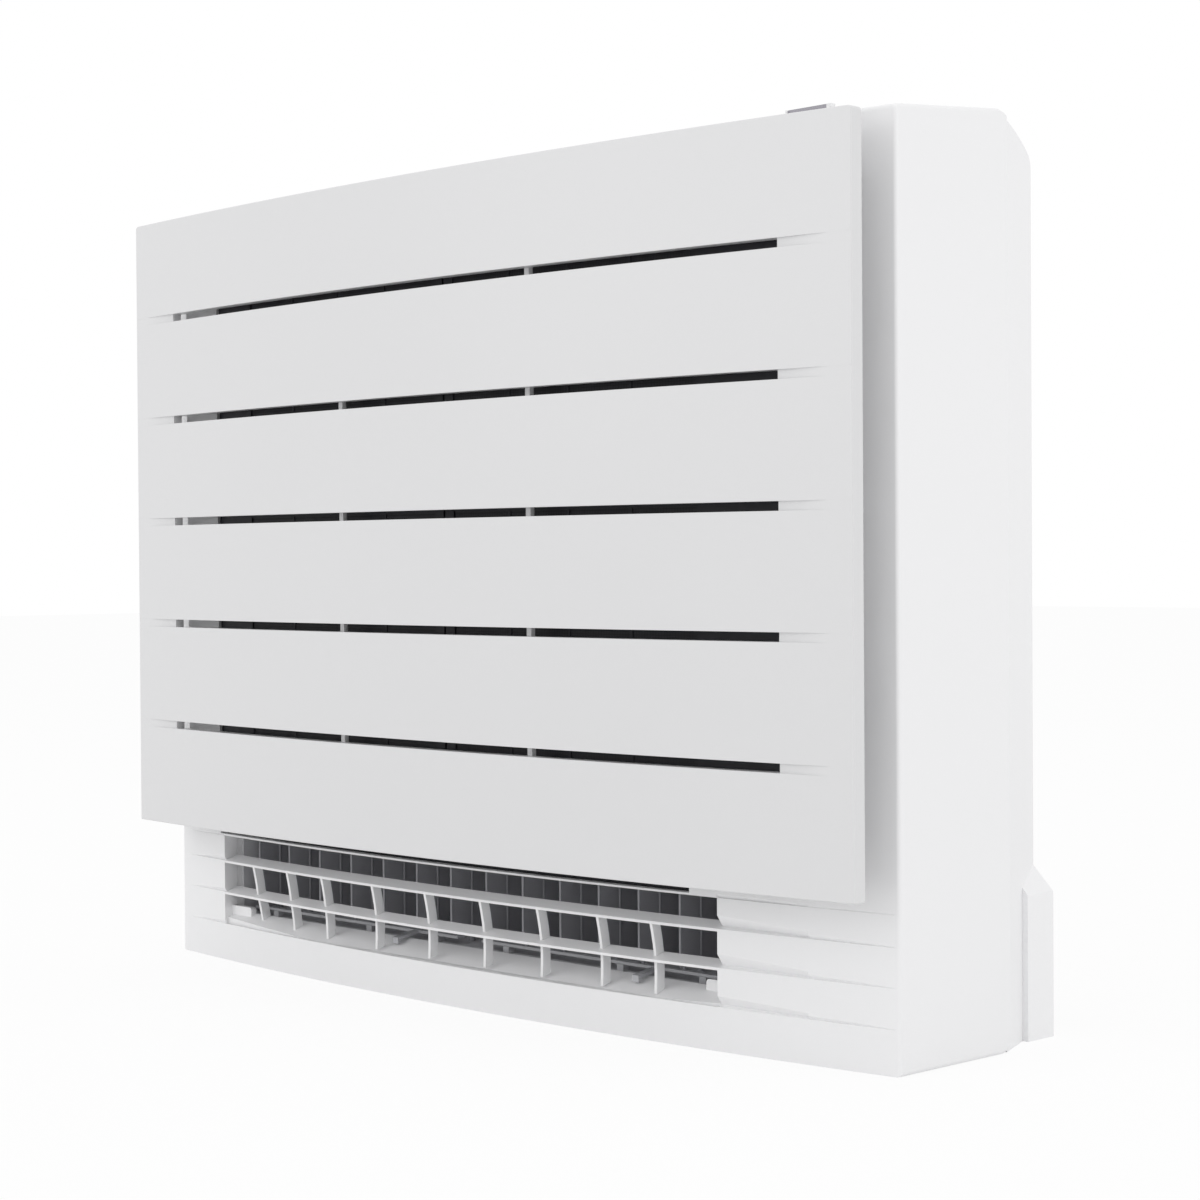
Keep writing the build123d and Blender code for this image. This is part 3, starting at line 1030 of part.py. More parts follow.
def lower_duct():
    """Duct from the fan chamber down and forward to the lower outlet."""
    x0, x1 = OUTLET_X0, OUTLET_X1
    mouth = DUCT_MOUTH_Y
    low_y, high_y = CHAMBER_Y + 12, Y_WALL - 41
    floor_line = [(BACK_Y, 170), (high_y, 108), (low_y, 52), (mouth + 6, DUCT_FLOOR_Z)]
    sweep_line = Spline(*floor_line, tangents=[(0, -1), (-1, 0)])
    under = Polyline(sweep_line @ 1, (mouth, DUCT_FLOOR_Z - 1.5), (mouth, 22), (mouth + SHEET, 22),
                     (mouth + SHEET + 1, DUCT_FLOOR_Z - WALL - 1), (mouth + 8, DUCT_FLOOR_Z - WALL))
    lower = Spline((mouth + 8, DUCT_FLOOR_Z - WALL), (low_y + 1.5, 49.5), (high_y + 2, 105.5), (BACK_Y, 163),
                   tangents=[(1, 0), (0, 1)])
    closing = Line(lower @ 1, sweep_line @ 0)
    outline = [sweep_line, under, lower, closing]
    duct = side_profile(x0, x1, [edge for part in outline for edge in part.edges()])
    high = DUCT_CEILING_Z
    ceiling = [(mouth, high), (PAN_Y1 + 1, high + 1.6), (CHAMBER_Y + WALL, high + 6),
               (CHAMBER_Y + WALL, CHAMBER_Z0), (CHAMBER_Y, CHAMBER_Z0), (CHAMBER_Y, high + 8),
               (PAN_Y1, high + 4), (mouth, high + 2.4)]
    duct += side_polygon(x0, x1, ceiling)
    low_edge = [sweep_line @ (1 - k / 12) for k in range(7)]
    cheek = [(point.X, point.Y - 1) for point in low_edge]
    cheek += [(low_edge[-1].X, high + 4), (mouth, high + 0.5), (mouth, DUCT_FLOOR_Z - 3)]
    for x in (x0, x1 - CHEEK):
        side = side_polygon(x, x + CHEEK, cheek)
        duct += side & block(x, x + CHEEK, mouth, CHAMBER_Y + WALL, 0, CHAMBER_Z0)
    for x in (COIL_X0, AIR_MID, COIL_X1):
        for y in (PAN_Y0 + 5, PAN_Y1 - 10):
            duct += block(x - 3, x + 3, y, y + 6, high + 1, PAN_Z0)
    for x in FIN_X:
        duct += rod_z(FIN_COLLAR_R + 0.8, x, FIN_PIVOT_Y, DUCT_FLOOR_Z - 5, DUCT_FLOOR_Z + 0.5)
        duct -= rod_z(FIN_PIVOT_R + RUNNING, x, FIN_PIVOT_Y, DUCT_FLOOR_Z - 4, DUCT_CEILING_Z + 6)
    for index in range(2):
        for x in link_rest_places(index):
            duct += block(x - 3, x + 3, LINK_Y - 3, LINK_Y + 3, DUCT_FLOOR_Z - 1,
                          DUCT_FLOOR_Z + LINK_LIFT - CLEAR)
    return duct


def link_rest_places(index):
    """Places of the rests under one link bar, each midway between two fins."""
    first = index * FINS_PER_SET
    return [FIN_X[first + k] + FIN_PITCH / 2 for k in (0, FINS_PER_SET // 2, FINS_PER_SET - 2)]


def lower_damper():
    """Damper that folds down from the bell mouth plate to close the lower duct."""
    x0, x1 = OUTLET_X0 + 1.5, OUTLET_X1 - 1.5
    y, z = DAMPER_Y, DAMPER_Z
    plate = block(x0, x1, y - DAMPER_THICK / 2, y + DAMPER_THICK / 2, z, z + DAMPER_LENGTH)
    plate += rod_x(PIVOT_R + 1, x0, x1, y, z)
    return plate + pivot_pins(y, z, OUTLET_X0 - WALL + CLEAR, OUTLET_X1 + WALL - CLEAR)


def pivot_motor(y, z):
    """Small geared stepping motor: can with two ears, and a neck up to the output bore."""
    x0 = OUTLET_X1 + WALL
    middle = z - MOTOR_DROP
    body = rod_x(MOTOR_CAN_R, x0, x0 + MOTOR_LENGTH, y, middle)
    ear = MOTOR_CAN_R + 5
    body += block(x0, x0 + 1.5, y - ear, y + ear, middle - 4, middle + 4)
    body += block(x0, x0 + 10, y - PIVOT_R - 1, y + PIVOT_R + 1, middle, z)
    body += rod_x(DRIVE_R + 0.9, x0, x0 + 10, y, z)
    return body - rod_x(DRIVE_R + RUNNING, x0 - 1, x0 + 8, y, z)


def pivot_pins(y, z, x_left, x_right):
    """Pins at both ends of a turning plate; the right one ends in the motor's thin drive pin."""
    pins = rod_x(PIVOT_R, x_left, OUTLET_X0 + 8, y, z) + rod_x(PIVOT_R, OUTLET_X1 - 8, x_right, y, z)
    return pins + rod_x(DRIVE_R, x_right - 1, OUTLET_X1 + WALL + 7, y, z)


# ---- Lower fins ----------------------------------------------------------------------------------
def lower_fin(x):
    """One upright fin with its two pivots and the pin for the link bar."""
    low, high = FIN_Z0, DUCT_CEILING_Z - 1.0
    front, back = FIN_FRONT_Y, FIN_BACK_Y
    half = FIN_THICK / 2
    fin = block(x - half, x + half, front, back, low, high)
    fin += rod_z(FIN_PIVOT_R, x, FIN_PIVOT_Y, DUCT_FLOOR_Z - 3, DUCT_CEILING_Z + 2.5)
    fin += rod_z(FIN_COLLAR_R, x, FIN_PIVOT_Y, DUCT_FLOOR_Z + 0.7, low + 1)
    return fin + rod_z(LINK_PIN_R, x, LINK_Y, DUCT_FLOOR_Z + LINK_LIFT + CLEAR, low + 1)


def link_bar(index):
    """Bar that joins the fins of one set, with the bent finger tab."""
    xs = FIN_X[index * FINS_PER_SET:(index + 1) * FINS_PER_SET]
    z0 = DUCT_FLOOR_Z + LINK_LIFT
    z1 = z0 + LINK_THICK
    y0, y1 = LINK_Y - LINK_WIDTH / 2, LINK_Y + LINK_WIDTH / 2
    bar = block(xs[0] - 6, xs[-1] + 6, y0, y1, z0, z1)
    sweep_back = LINK_ARM * (1 - cos(radians(FIN_SWING)))
    for x in xs:
        low, high = LINK_Y - LINK_PIN_R - 0.4, LINK_Y + LINK_PIN_R + 0.4 + sweep_back
        bar -= block(x - LINK_PIN_R - 0.3, x + LINK_PIN_R + 0.3, low, high, z0 - 1, z1 + 1)
    x = AIR_MID + TAB_X[index]
    tip, drop = y0 - TAB_REACH, z0 - TAB_FALL
    arm = [(y0 + 1, z0), (y0 + 1, z1), (tip, drop + LINK_THICK), (tip, drop - TAB_DROP),
           (tip + TAB_THICK, drop - TAB_DROP), (tip + TAB_THICK, drop)]
    return bar + side_polygon(x - TAB_WIDTH / 2, x + TAB_WIDTH / 2, arm)


# ---- Electrical bay ------------------------------------------------------------------------------
def electrical_box():
    """Open box for the boards, screwed to the casing's inner wall."""
    box = block(BOX_X0, BOX_X1, BOX_Y0, BOX_Y1, BOX_Z0, BOX_Z1)
    box -= block(BOX_X0 + SHEET, BOX_X1 - SHEET, BOX_Y0 - 1, BOX_Y1 - SHEET, BOX_Z0 + SHEET, BOX_Z1 - SHEET)
    for z in (BOX_Z0 + 30, BOX_Z1 - 40):
        box += block(OUTLET_X1 + WALL, BOX_X0 + 1, BOX_Y1 - 10, BOX_Y1, z, z + 10)
    for x in (BOX_X0 + 16, BOX_X1 - 16):
        for z in (BOX_Z0 + 95, BOX_Z1 - 25):
            box += rod_y(3.5, x, BOX_Y1 - BOARD_POST, BOX_Y1 - 1, z)
    return box


def electrical_lid():
    """Pressed steel lid on the front of the electrical box."""
    lid = block(BOX_X0, BOX_X1, BOX_Y0 - LID_THICK, BOX_Y0, BOX_Z0, BOX_Z1)
    lid -= [block(BOX_X0 + 18, BOX_X1 - 18, BOX_Y0 - 2, BOX_Y0 + 1, BOX_Z1 - 60 - 9 * k, BOX_Z1 - 56 - 9 * k)
            for k in range(6)]
    return lid


def control_board():
    """Main board on its four posts, with its large components."""
    y1 = BOX_Y1 - BOARD_POST
    board = block(BOX_X0 + 6, BOX_X1 - 6, y1 - BOARD_THICK, y1, BOX_Z0 + 85, BOX_Z1 - 14)
    for k in range(3):
        board += rod_y(7, BOX_X0 + 22, y1 - 24, y1 - 1, BOX_Z0 + 120 + 26 * k)
    board += block(BOX_X1 - 34, BOX_X1 - 12, y1 - 18, y1 - 1, BOX_Z0 + 110, BOX_Z0 + 150)
    board += block(BOX_X1 - 38, BOX_X1 - 14, y1 - 4, y1 - 1, BOX_Z0 + 200, BOX_Z0 + 224)
    for k in range(4):
        x = BOX_X0 + 14 + 15 * k
        board += block(x, x + 11, y1 - 9, y1 - 1, BOX_Z1 - 34, BOX_Z1 - 26)
    return board


def terminal_block():
    """Screw terminals for the supply and outdoor wires."""
    y1 = BOX_Y1 - SHEET
    base = block(BOX_X0 + 12, BOX_X1 - 12, y1 - 20, y1, BOX_Z0 + 30, BOX_Z0 + 62)
    pitch = (BOX_X1 - BOX_X0 - 24) / 4
    for k in range(4):
        x = BOX_X0 + 12 + pitch * (k + 0.5)
        base -= block(x - pitch * 0.36, x + pitch * 0.36, y1 - 21, y1 - 12, BOX_Z0 + 34, BOX_Z0 + 58)
    return base


def display_board():
    """Small board under the top that carries the lamps and the button contact."""
    z = top_z(BUTTON_Y) - 18
    board = block(BUTTON_X - 14, DISPLAY_X1 + 6, DISPLAY_Y0 + 0.5, BUTTON_Y + 14, z, z + BOARD_THICK)
    board += block(BUTTON_X - 3, BUTTON_X + 3, BUTTON_Y - 3, BUTTON_Y + 3, z + 1,
                   button_low() - CLEAR - BUTTON_TRAVEL)
    for k in range(1, 4):
        board += rod_z(1.4, DISPLAY_X0 + DISPLAY_WIDTH * k / 4, (DISPLAY_Y0 + DISPLAY_Y1) / 2, z + 1, z + 6)
    for x in (BUTTON_X - 10, DISPLAY_X1 + 2):
        board += rod_z(2.5, x, BUTTON_Y + 8, z + 1, under_top_z(BUTTON_Y + 5.5))
    return board


def button_low():
    return top_z(BUTTON_Y) - WALL - 5.5


def on_off_button():
    """Round push button in the top, with a retaining skirt under the shell."""
    low = button_low()
    cap = rod_z(BUTTON_R, BUTTON_X, BUTTON_Y, low, top_z(BUTTON_Y) + 1.4)
    cap = fillet(cap.edges().group_by(Axis.Z)[-1], 0.8)
    return cap + rod_z(BUTTON_R + 1.6, BUTTON_X, BUTTON_Y, low, low + 1.6)


def airflow_switch():
    """Slide switch behind the panel's lower right corner."""
    y = BODY.y(SWITCH_X)
    lever = block(SWITCH_X - 2, SWITCH_X + 2, y - 4, y + WALL + 2, SWITCH_Z - 5, SWITCH_Z + 5)
    return lever + block(SWITCH_X - 5, SWITCH_X + 5, y + WALL + 1.9, y + WALL + 4, SWITCH_Z - 8, SWITCH_Z + 8)


def room_sensor():
    """Room temperature sensor bead in its clip on the casing's inner wall."""
    x0 = OUTLET_X1 + WALL
    y0, z0 = CHAMBER_Y + 8, PAN_Z1 + 13
    clip = block(x0, x0 + 8, y0, y0 + 10, z0, z0 + 12)
    return clip + rod_y(2.2, x0 + 5, y0 - 18, y0 + 1, z0 + 6)


# ---- Pipes ---------------------------------------------------------------------------------------
def pipe(radius, row, x_side, y_back, x_end):
    """Refrigerant pipe from the top of a tube row, round the electrical box and down to its union."""
    y_row, z_top = tube_places()[row][-1]
    start_x = COIL_X1 + END_THICK + 1
    points = [(start_x, y_row, z_top), (x_side, y_row, z_top), (x_side, y_back, z_top),
              (x_end, y_back, z_top),
              (x_end, y_back, PIPE_Z), (x_end, PIPE_END_Y - UNION_LENGTH, PIPE_Z)]
    return tube_along(FilletPolyline(*points, radius=PIPE_BEND), radius)


def flare_union(pipe_radius, thread_radius, x):
    """Brass flare union on a pipe's end: hexagon, threaded stub and through bore."""
    y0 = PIPE_END_Y - UNION_LENGTH
    hexagon = Pos(x, y0, PIPE_Z) * Rot(-90, 0, 0) * extrude(RegularPolygon(thread_radius + 2.5, 6), amount=10)
    union = hexagon + rod_y(thread_radius, x, y0 + 9, PIPE_END_Y, PIPE_Z)
    return union - rod_y(pipe_radius - 1.0, x, y0 + 4, PIPE_END_Y + 1, PIPE_Z)


def screws():
    """Pan head screws of the motor clamp."""
    y1 = CLAMP_Y0 - SHEET
    return [rod_y(4.5, x, y1 - 2.5, y1, z) + rod_y(CLAMP_SCREW_R, x, y1 - 1, BACK_Y, z)
            for x, z in motor_screws()]


# ---- Write every sub-part ------------------------------------------------------------------------
def gather(shape):
    """One shape from a solid, a part or a list of solids."""
    if isinstance(shape, list):
        return Compound(children=[solid for item in shape for solid in item.solids()])
    return shape


nodes = {
    "rear_casing": rear_casing(),
    "mounting_plate": mounting_plate(),
    "front_shell": front_shell(),
    "outlet_seal": outlet_seal(),
    "front_panel": front_panel(),
    "panel_pads": panel_pads(),
    "panel_stopper_left": panel_stopper(-1),
    "panel_stopper_right": panel_stopper(1),
    "air_filter_left": air_filter(-1),
    "air_filter_right": air_filter(1),
    "deodoriser_left": deodoriser(-1),
    "deodoriser_right": deodoriser(1),
    "coil_fins": coil_fins(),
    "coil_end_plates": coil_end_plates(),
    "coil_tubes": coil_tubes(),
    "drain_pan": drain_pan(),
    "drain_hose": drain_hose(),
    "bell_mouth": bell_mouth(),
    "fan_wheel": fan_wheel(),
    "motor_shaft": motor_shaft(),
    "shaft_nut": shaft_nut(),
    "fan_motor": fan_motor(),
    "motor_clamp": motor_clamp(),
    "motor_bushes": motor_bushes(),
    "screws": screws(),
    "upper_duct": upper_duct(),
    "upper_flap": upper_flap(),
    "flap_motor": pivot_motor(FLAP_PIVOT_Y, flap_pivot_z()),
    "lower_duct": lower_duct(),
    "lower_damper": lower_damper(),
    "damper_motor": pivot_motor(DAMPER_Y, DAMPER_Z),
    "electrical_box": electrical_box(),
    "electrical_lid": electrical_lid(),
    "control_board": control_board(),
    "terminal_block": terminal_block(),
    "display_board": display_board(),
    "display_window": display_window(),
    "on_off_button": on_off_button(),
    "airflow_switch": airflow_switch(),
    "room_sensor": room_sensor(),
    "gas_pipe": pipe(GAS_R, 1, GAS_SIDE_X, GAS_BACK_Y, GAS_X),
    "liquid_pipe": pipe(LIQUID_R, 0, LIQUID_SIDE_X, LIQUID_BACK_Y, LIQUID_X),
    "flare_unions": [flare_union(GAS_R, GAS_THREAD_R, GAS_X),
                     flare_union(LIQUID_R, LIQUID_THREAD_R, LIQUID_X)],
}
for k, x in enumerate(FIN_X):
    nodes[f"lower_fin_{k + 1}"] = lower_fin(x)
for index, name in enumerate(("link_bar_left", "link_bar_right")):
    nodes[name] = link_bar(index)

os.makedirs("parts", exist_ok=True)
for name, shape in nodes.items():
    export_step(gather(shape), f"parts/{name}.step")
print(len(nodes), "nodes")
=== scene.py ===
"""Looks of a floor standing air conditioner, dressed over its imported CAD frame.

Every length is in metres in the frame's own axes: the front faces -Y, +Z is up, the floor is z = 0.
"""

import logging
import math
from dataclasses import dataclass, field
from enum import Enum

import bmesh
import bpy
from mathutils import Matrix, Vector


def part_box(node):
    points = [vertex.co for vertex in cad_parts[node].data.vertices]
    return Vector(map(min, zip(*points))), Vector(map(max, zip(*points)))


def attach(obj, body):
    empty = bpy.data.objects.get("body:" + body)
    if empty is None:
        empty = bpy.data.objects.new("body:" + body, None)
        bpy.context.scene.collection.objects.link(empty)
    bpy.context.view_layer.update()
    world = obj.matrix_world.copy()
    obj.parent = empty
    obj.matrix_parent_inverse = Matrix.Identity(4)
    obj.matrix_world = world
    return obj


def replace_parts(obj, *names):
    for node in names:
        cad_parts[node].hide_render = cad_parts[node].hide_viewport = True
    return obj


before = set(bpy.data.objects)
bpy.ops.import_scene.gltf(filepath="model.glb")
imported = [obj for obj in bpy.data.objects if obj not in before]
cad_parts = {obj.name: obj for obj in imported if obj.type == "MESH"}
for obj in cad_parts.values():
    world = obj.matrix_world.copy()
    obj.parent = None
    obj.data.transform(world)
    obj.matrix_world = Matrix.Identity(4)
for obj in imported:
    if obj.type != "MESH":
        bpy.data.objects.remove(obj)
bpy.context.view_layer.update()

LOG = logging.getLogger("console")
MM = 0.001
DRIFT_PER_METRE = 6.0       # slow tone changes, about one over a hand's width
DRIFT_SHADE = 0.25          # how much of a finish's spread also darkens its colour
COAT_ROUGHNESS = 0.08
BRUSH_STRETCH = 0.02        # scratches are fifty times as long as they are wide
ROD_SIDES = 24
BEVEL_STEPS = 3
SHARP_DEGREES = 35


# ---- Colour and node helpers ---------------------------------------------------------------------
def linear(hex_colour: str) -> tuple[float, float, float, float]:
    """Turn an sRGB hex colour into the linear values that shaders take.

    Args:
        hex_colour: Six hex digits, such as "e8e8e6".

    Returns:
        Red, green, blue and an alpha of 1.
    """
    values = [int(hex_colour[k:k + 2], 16) / 255 for k in (0, 2, 4)]
    red, green, blue = [v / 12.92 if v <= 0.04045 else ((v + 0.055) / 1.055) ** 2.4 for v in values]
    return red, green, blue, 1.0


def add_node(tree: bpy.types.NodeTree, kind: str, settings: dict | None = None,
             links: dict | None = None) -> bpy.types.Node:
    """Add one shader node with its settings and incoming links.

    Args:
        tree: The node tree that gets the node.
        kind: The node's type name without its "ShaderNode" prefix.
        settings: Property names, or input names or numbers, and their values.
        links: Input names or numbers and the output sockets that feed them.

    Returns:
        The new node.
    """
    node = tree.nodes.new("ShaderNode" + kind)
    for key, value in (settings or {}).items():
        if isinstance(key, str) and hasattr(node, key):
            setattr(node, key, value)
        else:
            node.inputs[key].default_value = value
    for key, socket in (links or {}).items():
        tree.links.new(socket, node.inputs[key])
    return node


class Pattern(Enum):
    """The surface patterns that a finish can carry."""

    GRAIN = "fine moulded grain"
    BRUSHED = "long parallel scratches"
    SPANGLE = "zinc crystals"
    BEADS = "fused foam beads"
    MESH = "woven filter net"
    TRACKS = "printed board tracks"
    TARNISH = "cloudy oxide"


@dataclass(frozen=True)
class Finish:
    """One real material with the look that its making gives it."""

    name: str
    colour: str
    second: str
    roughness: float = 0.4
    spread: float = 0.05
    ior: float = 1.5
    metallic: float = 0.0
    coat: float = 0.0
    pattern: Pattern = Pattern.GRAIN
    size_mm: float = 0.8
    relief_mm: float = 0.02

    def make(self) -> bpy.types.Material:
        """Build the material, or return it when it is there already.

        Returns:
            The material that carries this finish.
        """
        made = bpy.data.materials.get(self.name)
        if made:
            return made
        material = bpy.data.materials.new(self.name)
        material.use_nodes = True
        tree = material.node_tree
        tree.nodes.clear()
        place = add_node(tree, "TexCoord").outputs["Object"]
        height = self.height(tree, place)
        # Slow drift over a hand's width, as a moulded or rolled sheet shows in a raking light.
        drift = add_node(tree, "TexNoise", {"Scale": DRIFT_PER_METRE, "Detail": 2.0},
                         {"Vector": place}).outputs["Fac"]
        colour = add_node(tree, "Mix", {"data_type": "RGBA", 6: linear(self.colour), 7: linear(self.second)},
                          {0: height}).outputs[2]
        shade = add_node(tree, "MapRange", {"To Min": 1.0 - self.spread * DRIFT_SHADE, "To Max": 1.0},
                         {"Value": drift}).outputs["Result"]
        toned = add_node(tree, "HueSaturation", {}, {"Value": shade, "Color": colour}).outputs["Color"]
        rough = add_node(tree, "MapRange", {"To Min": self.roughness - self.spread,
                                            "To Max": self.roughness + self.spread},
                         {"Value": drift}).outputs["Result"]
        bump = add_node(tree, "Bump", {"Strength": 1.0, "Distance": self.relief_mm * MM},
                        {"Height": height}).outputs["Normal"]
        shader = add_node(tree, "BsdfPrincipled", {"IOR": self.ior, "Metallic": self.metallic,
                                                   "Coat Weight": self.coat,
                                                   "Coat Roughness": COAT_ROUGHNESS},
                          {"Base Color": toned, "Roughness": rough, "Normal": bump})
        add_node(tree, "OutputMaterial", {}, {"Surface": shader.outputs[0]})
        return material

    def height(self, tree: bpy.types.NodeTree, place: bpy.types.NodeSocket) -> bpy.types.NodeSocket:
        """Add the nodes of the pattern, at a scale worked out from its size in mm.

        Args:
            tree: The material's node tree.
            place: Object coordinates in metres.

        Returns:
            The pattern's height, from 0 to 1.
        """
        per_metre = 1.0 / (self.size_mm * MM)
        if self.pattern is Pattern.BEADS:
            return add_node(tree, "TexVoronoi", {"Scale": per_metre, "feature": "SMOOTH_F1"},
                            {"Vector": place}).outputs["Distance"]
        if self.pattern is Pattern.SPANGLE:
            cells = add_node(tree, "TexVoronoi", {"Scale": per_metre}, {"Vector": place}).outputs["Color"]
            return add_node(tree, "RGBToBW", {}, {0: cells}).outputs[0]
        if self.pattern is Pattern.MESH:
            return self.bands(tree, place, ("X", "Z"), per_metre)
        if self.pattern is Pattern.TRACKS:
            return add_node(tree, "TexVoronoi", {"Scale": per_metre, "distance": "CHEBYCHEV",
                                                 "feature": "F1"}, {"Vector": place}).outputs["Distance"]
        if self.pattern is Pattern.BRUSHED:
            stretched = add_node(tree, "Mapping", {"Scale": (BRUSH_STRETCH, 1.0, 1.0)},
                                 {"Vector": place}).outputs[0]
            return add_node(tree, "TexNoise", {"Scale": per_metre, "Detail": 3.0},
                            {"Vector": stretched}).outputs["Fac"]
        detail = 5.0 if self.pattern is Pattern.TARNISH else 2.0
        return add_node(tree, "TexNoise", {"Scale": per_metre, "Detail": detail},
                        {"Vector": place}).outputs["Fac"]

    def bands(self, tree: bpy.types.NodeTree, place: bpy.types.NodeSocket, axes: tuple[str, ...],
              per_metre: float) -> bpy.types.NodeSocket:
        """Return threads or edges that run across the given axes, one for every pattern size.

        Args:
            tree: The material's node tree.
            place: Object coordinates in metres.
            axes: The axes across which the bands repeat.
            per_metre: Bands in a metre.

        Returns:
            The height of the highest band at each point.
        """
        split = add_node(tree, "SeparateXYZ", {}, {0: place})
        height = None
        for axis in axes:
            turns = add_node(tree, "Math", {"operation": "MULTIPLY", 1: per_metre * math.tau},
                             {0: split.outputs[axis]}).outputs[0]
            wave = add_node(tree, "Math", {"operation": "SINE"}, {0: turns}).outputs[0]
            lifted = add_node(tree, "MapRange", {"From Min": -1.0, "From Max": 1.0},
                              {"Value": wave}).outputs[0]
            if height is None:
                height = lifted
            else:
                height = add_node(tree, "Math", {"operation": "MAXIMUM"}, {0: height, 1: lifted}).outputs[0]
        return height


# ABS moulded in a polished and lightly spark-eroded tool: satin, with a grain too fine to see as dots.
SHELL_ABS = Finish("shell_abs_satin", "f3f3f4", "f0f0f1", roughness=0.34, size_mm=0.7, relief_mm=0.004)
# Painted shade: the panel's colour is the shell's white ABS painted a few levels darker, for the less light
# that falls on its front. The panel's tool is polished further, so that its long faces carry a soft sheen.
PANEL_ABS_PAINTED_SHADE = Finish("panel_abs_satin_painted_shade", "dfdfe0", "dcdcdd", roughness=0.30, size_mm=0.7, relief_mm=0.004)
# Same ABS with a coarser spark grain, so that it scatters more and shows no clear reflection.
CASING_ABS = Finish("casing_abs_grained", "f6f6f7", "f2f2f3", roughness=0.52, size_mm=1.1, relief_mm=0.012)
# Moulded polypropylene frame: dull, with a faint violet tone in its black.
FILTER_FRAME = Finish("filter_polypropylene_frame", "3a3a40", "33333a", roughness=0.5, size_mm=0.9,
                      relief_mm=0.02)
# Polypropylene net, drawn at 2.4 mm where about 1 mm is common, so that its threads show.
FILTER_NET = Finish("filter_polypropylene_net", "4a4a50", "26262b", roughness=0.55, pattern=Pattern.MESH,
                    size_mm=2.4, relief_mm=0.05)
# Deodorising paper cassette: porous and dull black.
DEODORISER = Finish("deodoriser_porous_black", "111214", "1c1d20", roughness=0.9, size_mm=1.5, relief_mm=0.2)
# Aluminium foil with a water-shedding coat, stamped and stacked: bright edges over dark gaps.
FIN_FOIL = Finish("aluminium_foil_coated", "c6cace", "aeb3b8", roughness=0.32, metallic=1.0,
                  pattern=Pattern.BRUSHED, size_mm=1.5, relief_mm=0.01)
# Drawn copper that has clouded over in air: warm and half dull.
COPPER = Finish("copper_drawn_tarnished", "b8704e", "8c4f35", roughness=0.32, metallic=1.0,
                pattern=Pattern.TARNISH, size_mm=14.0, relief_mm=0.01)
# Turned brass: fine tool rings that stretch each highlight.
BRASS = Finish("brass_turned", "c9a55c", "b8934a", roughness=0.25, metallic=1.0, pattern=Pattern.BRUSHED,
               size_mm=0.5, relief_mm=0.01)
# Hot-dipped sheet: flat zinc crystals of about 9 mm, each a little lighter or darker.
GALVANISED = Finish("steel_galvanised_spangle", "a9adb0", "c3c6c8", roughness=0.42, metallic=1.0,
                    pattern=Pattern.SPANGLE, size_mm=9.0, relief_mm=0.01)
# Ground shaft steel: bright, with scratches along the wheel's path.
GROUND_STEEL = Finish("steel_ground", "9b9da0", "b6b8ba", roughness=0.28, metallic=1.0,
                      pattern=Pattern.BRUSHED, size_mm=0.4, relief_mm=0.01)
# Sprayed enamel over a pressed can: smooth with a little orange peel.
MOTOR_ENAMEL = Finish("motor_can_grey_enamel", "3a3b3e", "414246", roughness=0.35, coat=0.3, size_mm=1.2,
                      relief_mm=0.02)
# Steam-moulded beads of 3.5 mm that still show as shallow cells.
PAN_FOAM = Finish("polystyrene_beaded", "f0f0ed", "dededa", roughness=0.75, pattern=Pattern.BEADS,
                  size_mm=3.5, relief_mm=0.15)
# Moulded high-impact polystyrene, left matt so that the air path doesn't shine.
DUCT_PLASTIC = Finish("duct_polystyrene_grey", "b4b6ba", "adafb3", roughness=0.5, size_mm=1.0, relief_mm=0.01)
# Painted light: the duct's resin painted paler in the outlet, so that the floor behind the bars still shows
# in the shade.
OUTLET_PLASTIC_PAINTED_LIGHT = Finish("outlet_duct_polystyrene_painted_light", "d0d0d3", "c8c8cc", roughness=0.5, size_mm=1.0,
                        relief_mm=0.01)
# Glass-filled styrene resin: matt, a shade darker than the duct.
FAN_PLASTIC = Finish("fan_as_resin_grey", "5c5e62", "55575b", roughness=0.45, size_mm=1.0, relief_mm=0.01)
# Moulded ABS of the fins: mid grey, which looks dark because hardly any light reaches so far in.
LOUVRE_PLASTIC = Finish("louvre_abs_mid_grey", "9c9ca1", "949499", roughness=0.42, size_mm=0.8,
                        relief_mm=0.01)
# The fin's front lip, polished by fingers and dusters.
LOUVRE_LIP = Finish("louvre_lip_abs_grey", "9c9ca1", "929297", roughness=0.35, size_mm=0.8, relief_mm=0.01)
# Acetal: slightly waxy pale grey, self-coloured.
LINK_PLASTIC = Finish("link_acetal_grey", "b9babd", "b0b1b5", roughness=0.38, size_mm=0.8, relief_mm=0.01)
# Moulded rubber: nearly black with no clear highlight.
RUBBER = Finish("rubber_moulded_black", "151515", "1b1b1b", roughness=0.8, size_mm=0.6, relief_mm=0.03)
# Cut closed-cell foam, painted near black as a painted shade for the shadow in the gap under the panel; open
# bubbles on its skin scatter all light.
SEAL_FOAM_PAINTED_SHADE = Finish("foam_closed_cell_painted_shade", "2b2b2f", "38383c", roughness=0.95, pattern=Pattern.BEADS,
                   size_mm=1.0, relief_mm=0.15)
# Extruded soft vinyl, a little yellowed.
HOSE_VINYL = Finish("hose_vinyl_pale", "d6d5cf", "cbcac3", roughness=0.5, size_mm=2.0, relief_mm=0.05)
# Glass laminate under green solder mask: glossy, with raised tracks about 4 mm apart.
BOARD = Finish("board_green_solder_mask", "1d5a35", "2b7a48", roughness=0.35, coat=0.3,
               pattern=Pattern.TRACKS, size_mm=4.0, relief_mm=0.03)
# Pressed phenolic: hard black with a low sheen.
PHENOLIC = Finish("phenolic_moulded_black", "1b1b1c", "222223", roughness=0.4, size_mm=0.8, relief_mm=0.02)
# Smoked acrylic with a polished face: grey-mauve with clear reflections.
LENS = Finish("lens_smoked_acrylic", "8b8892", "918e98", roughness=0.12, coat=0.6, size_mm=40.0,
              relief_mm=0.0)
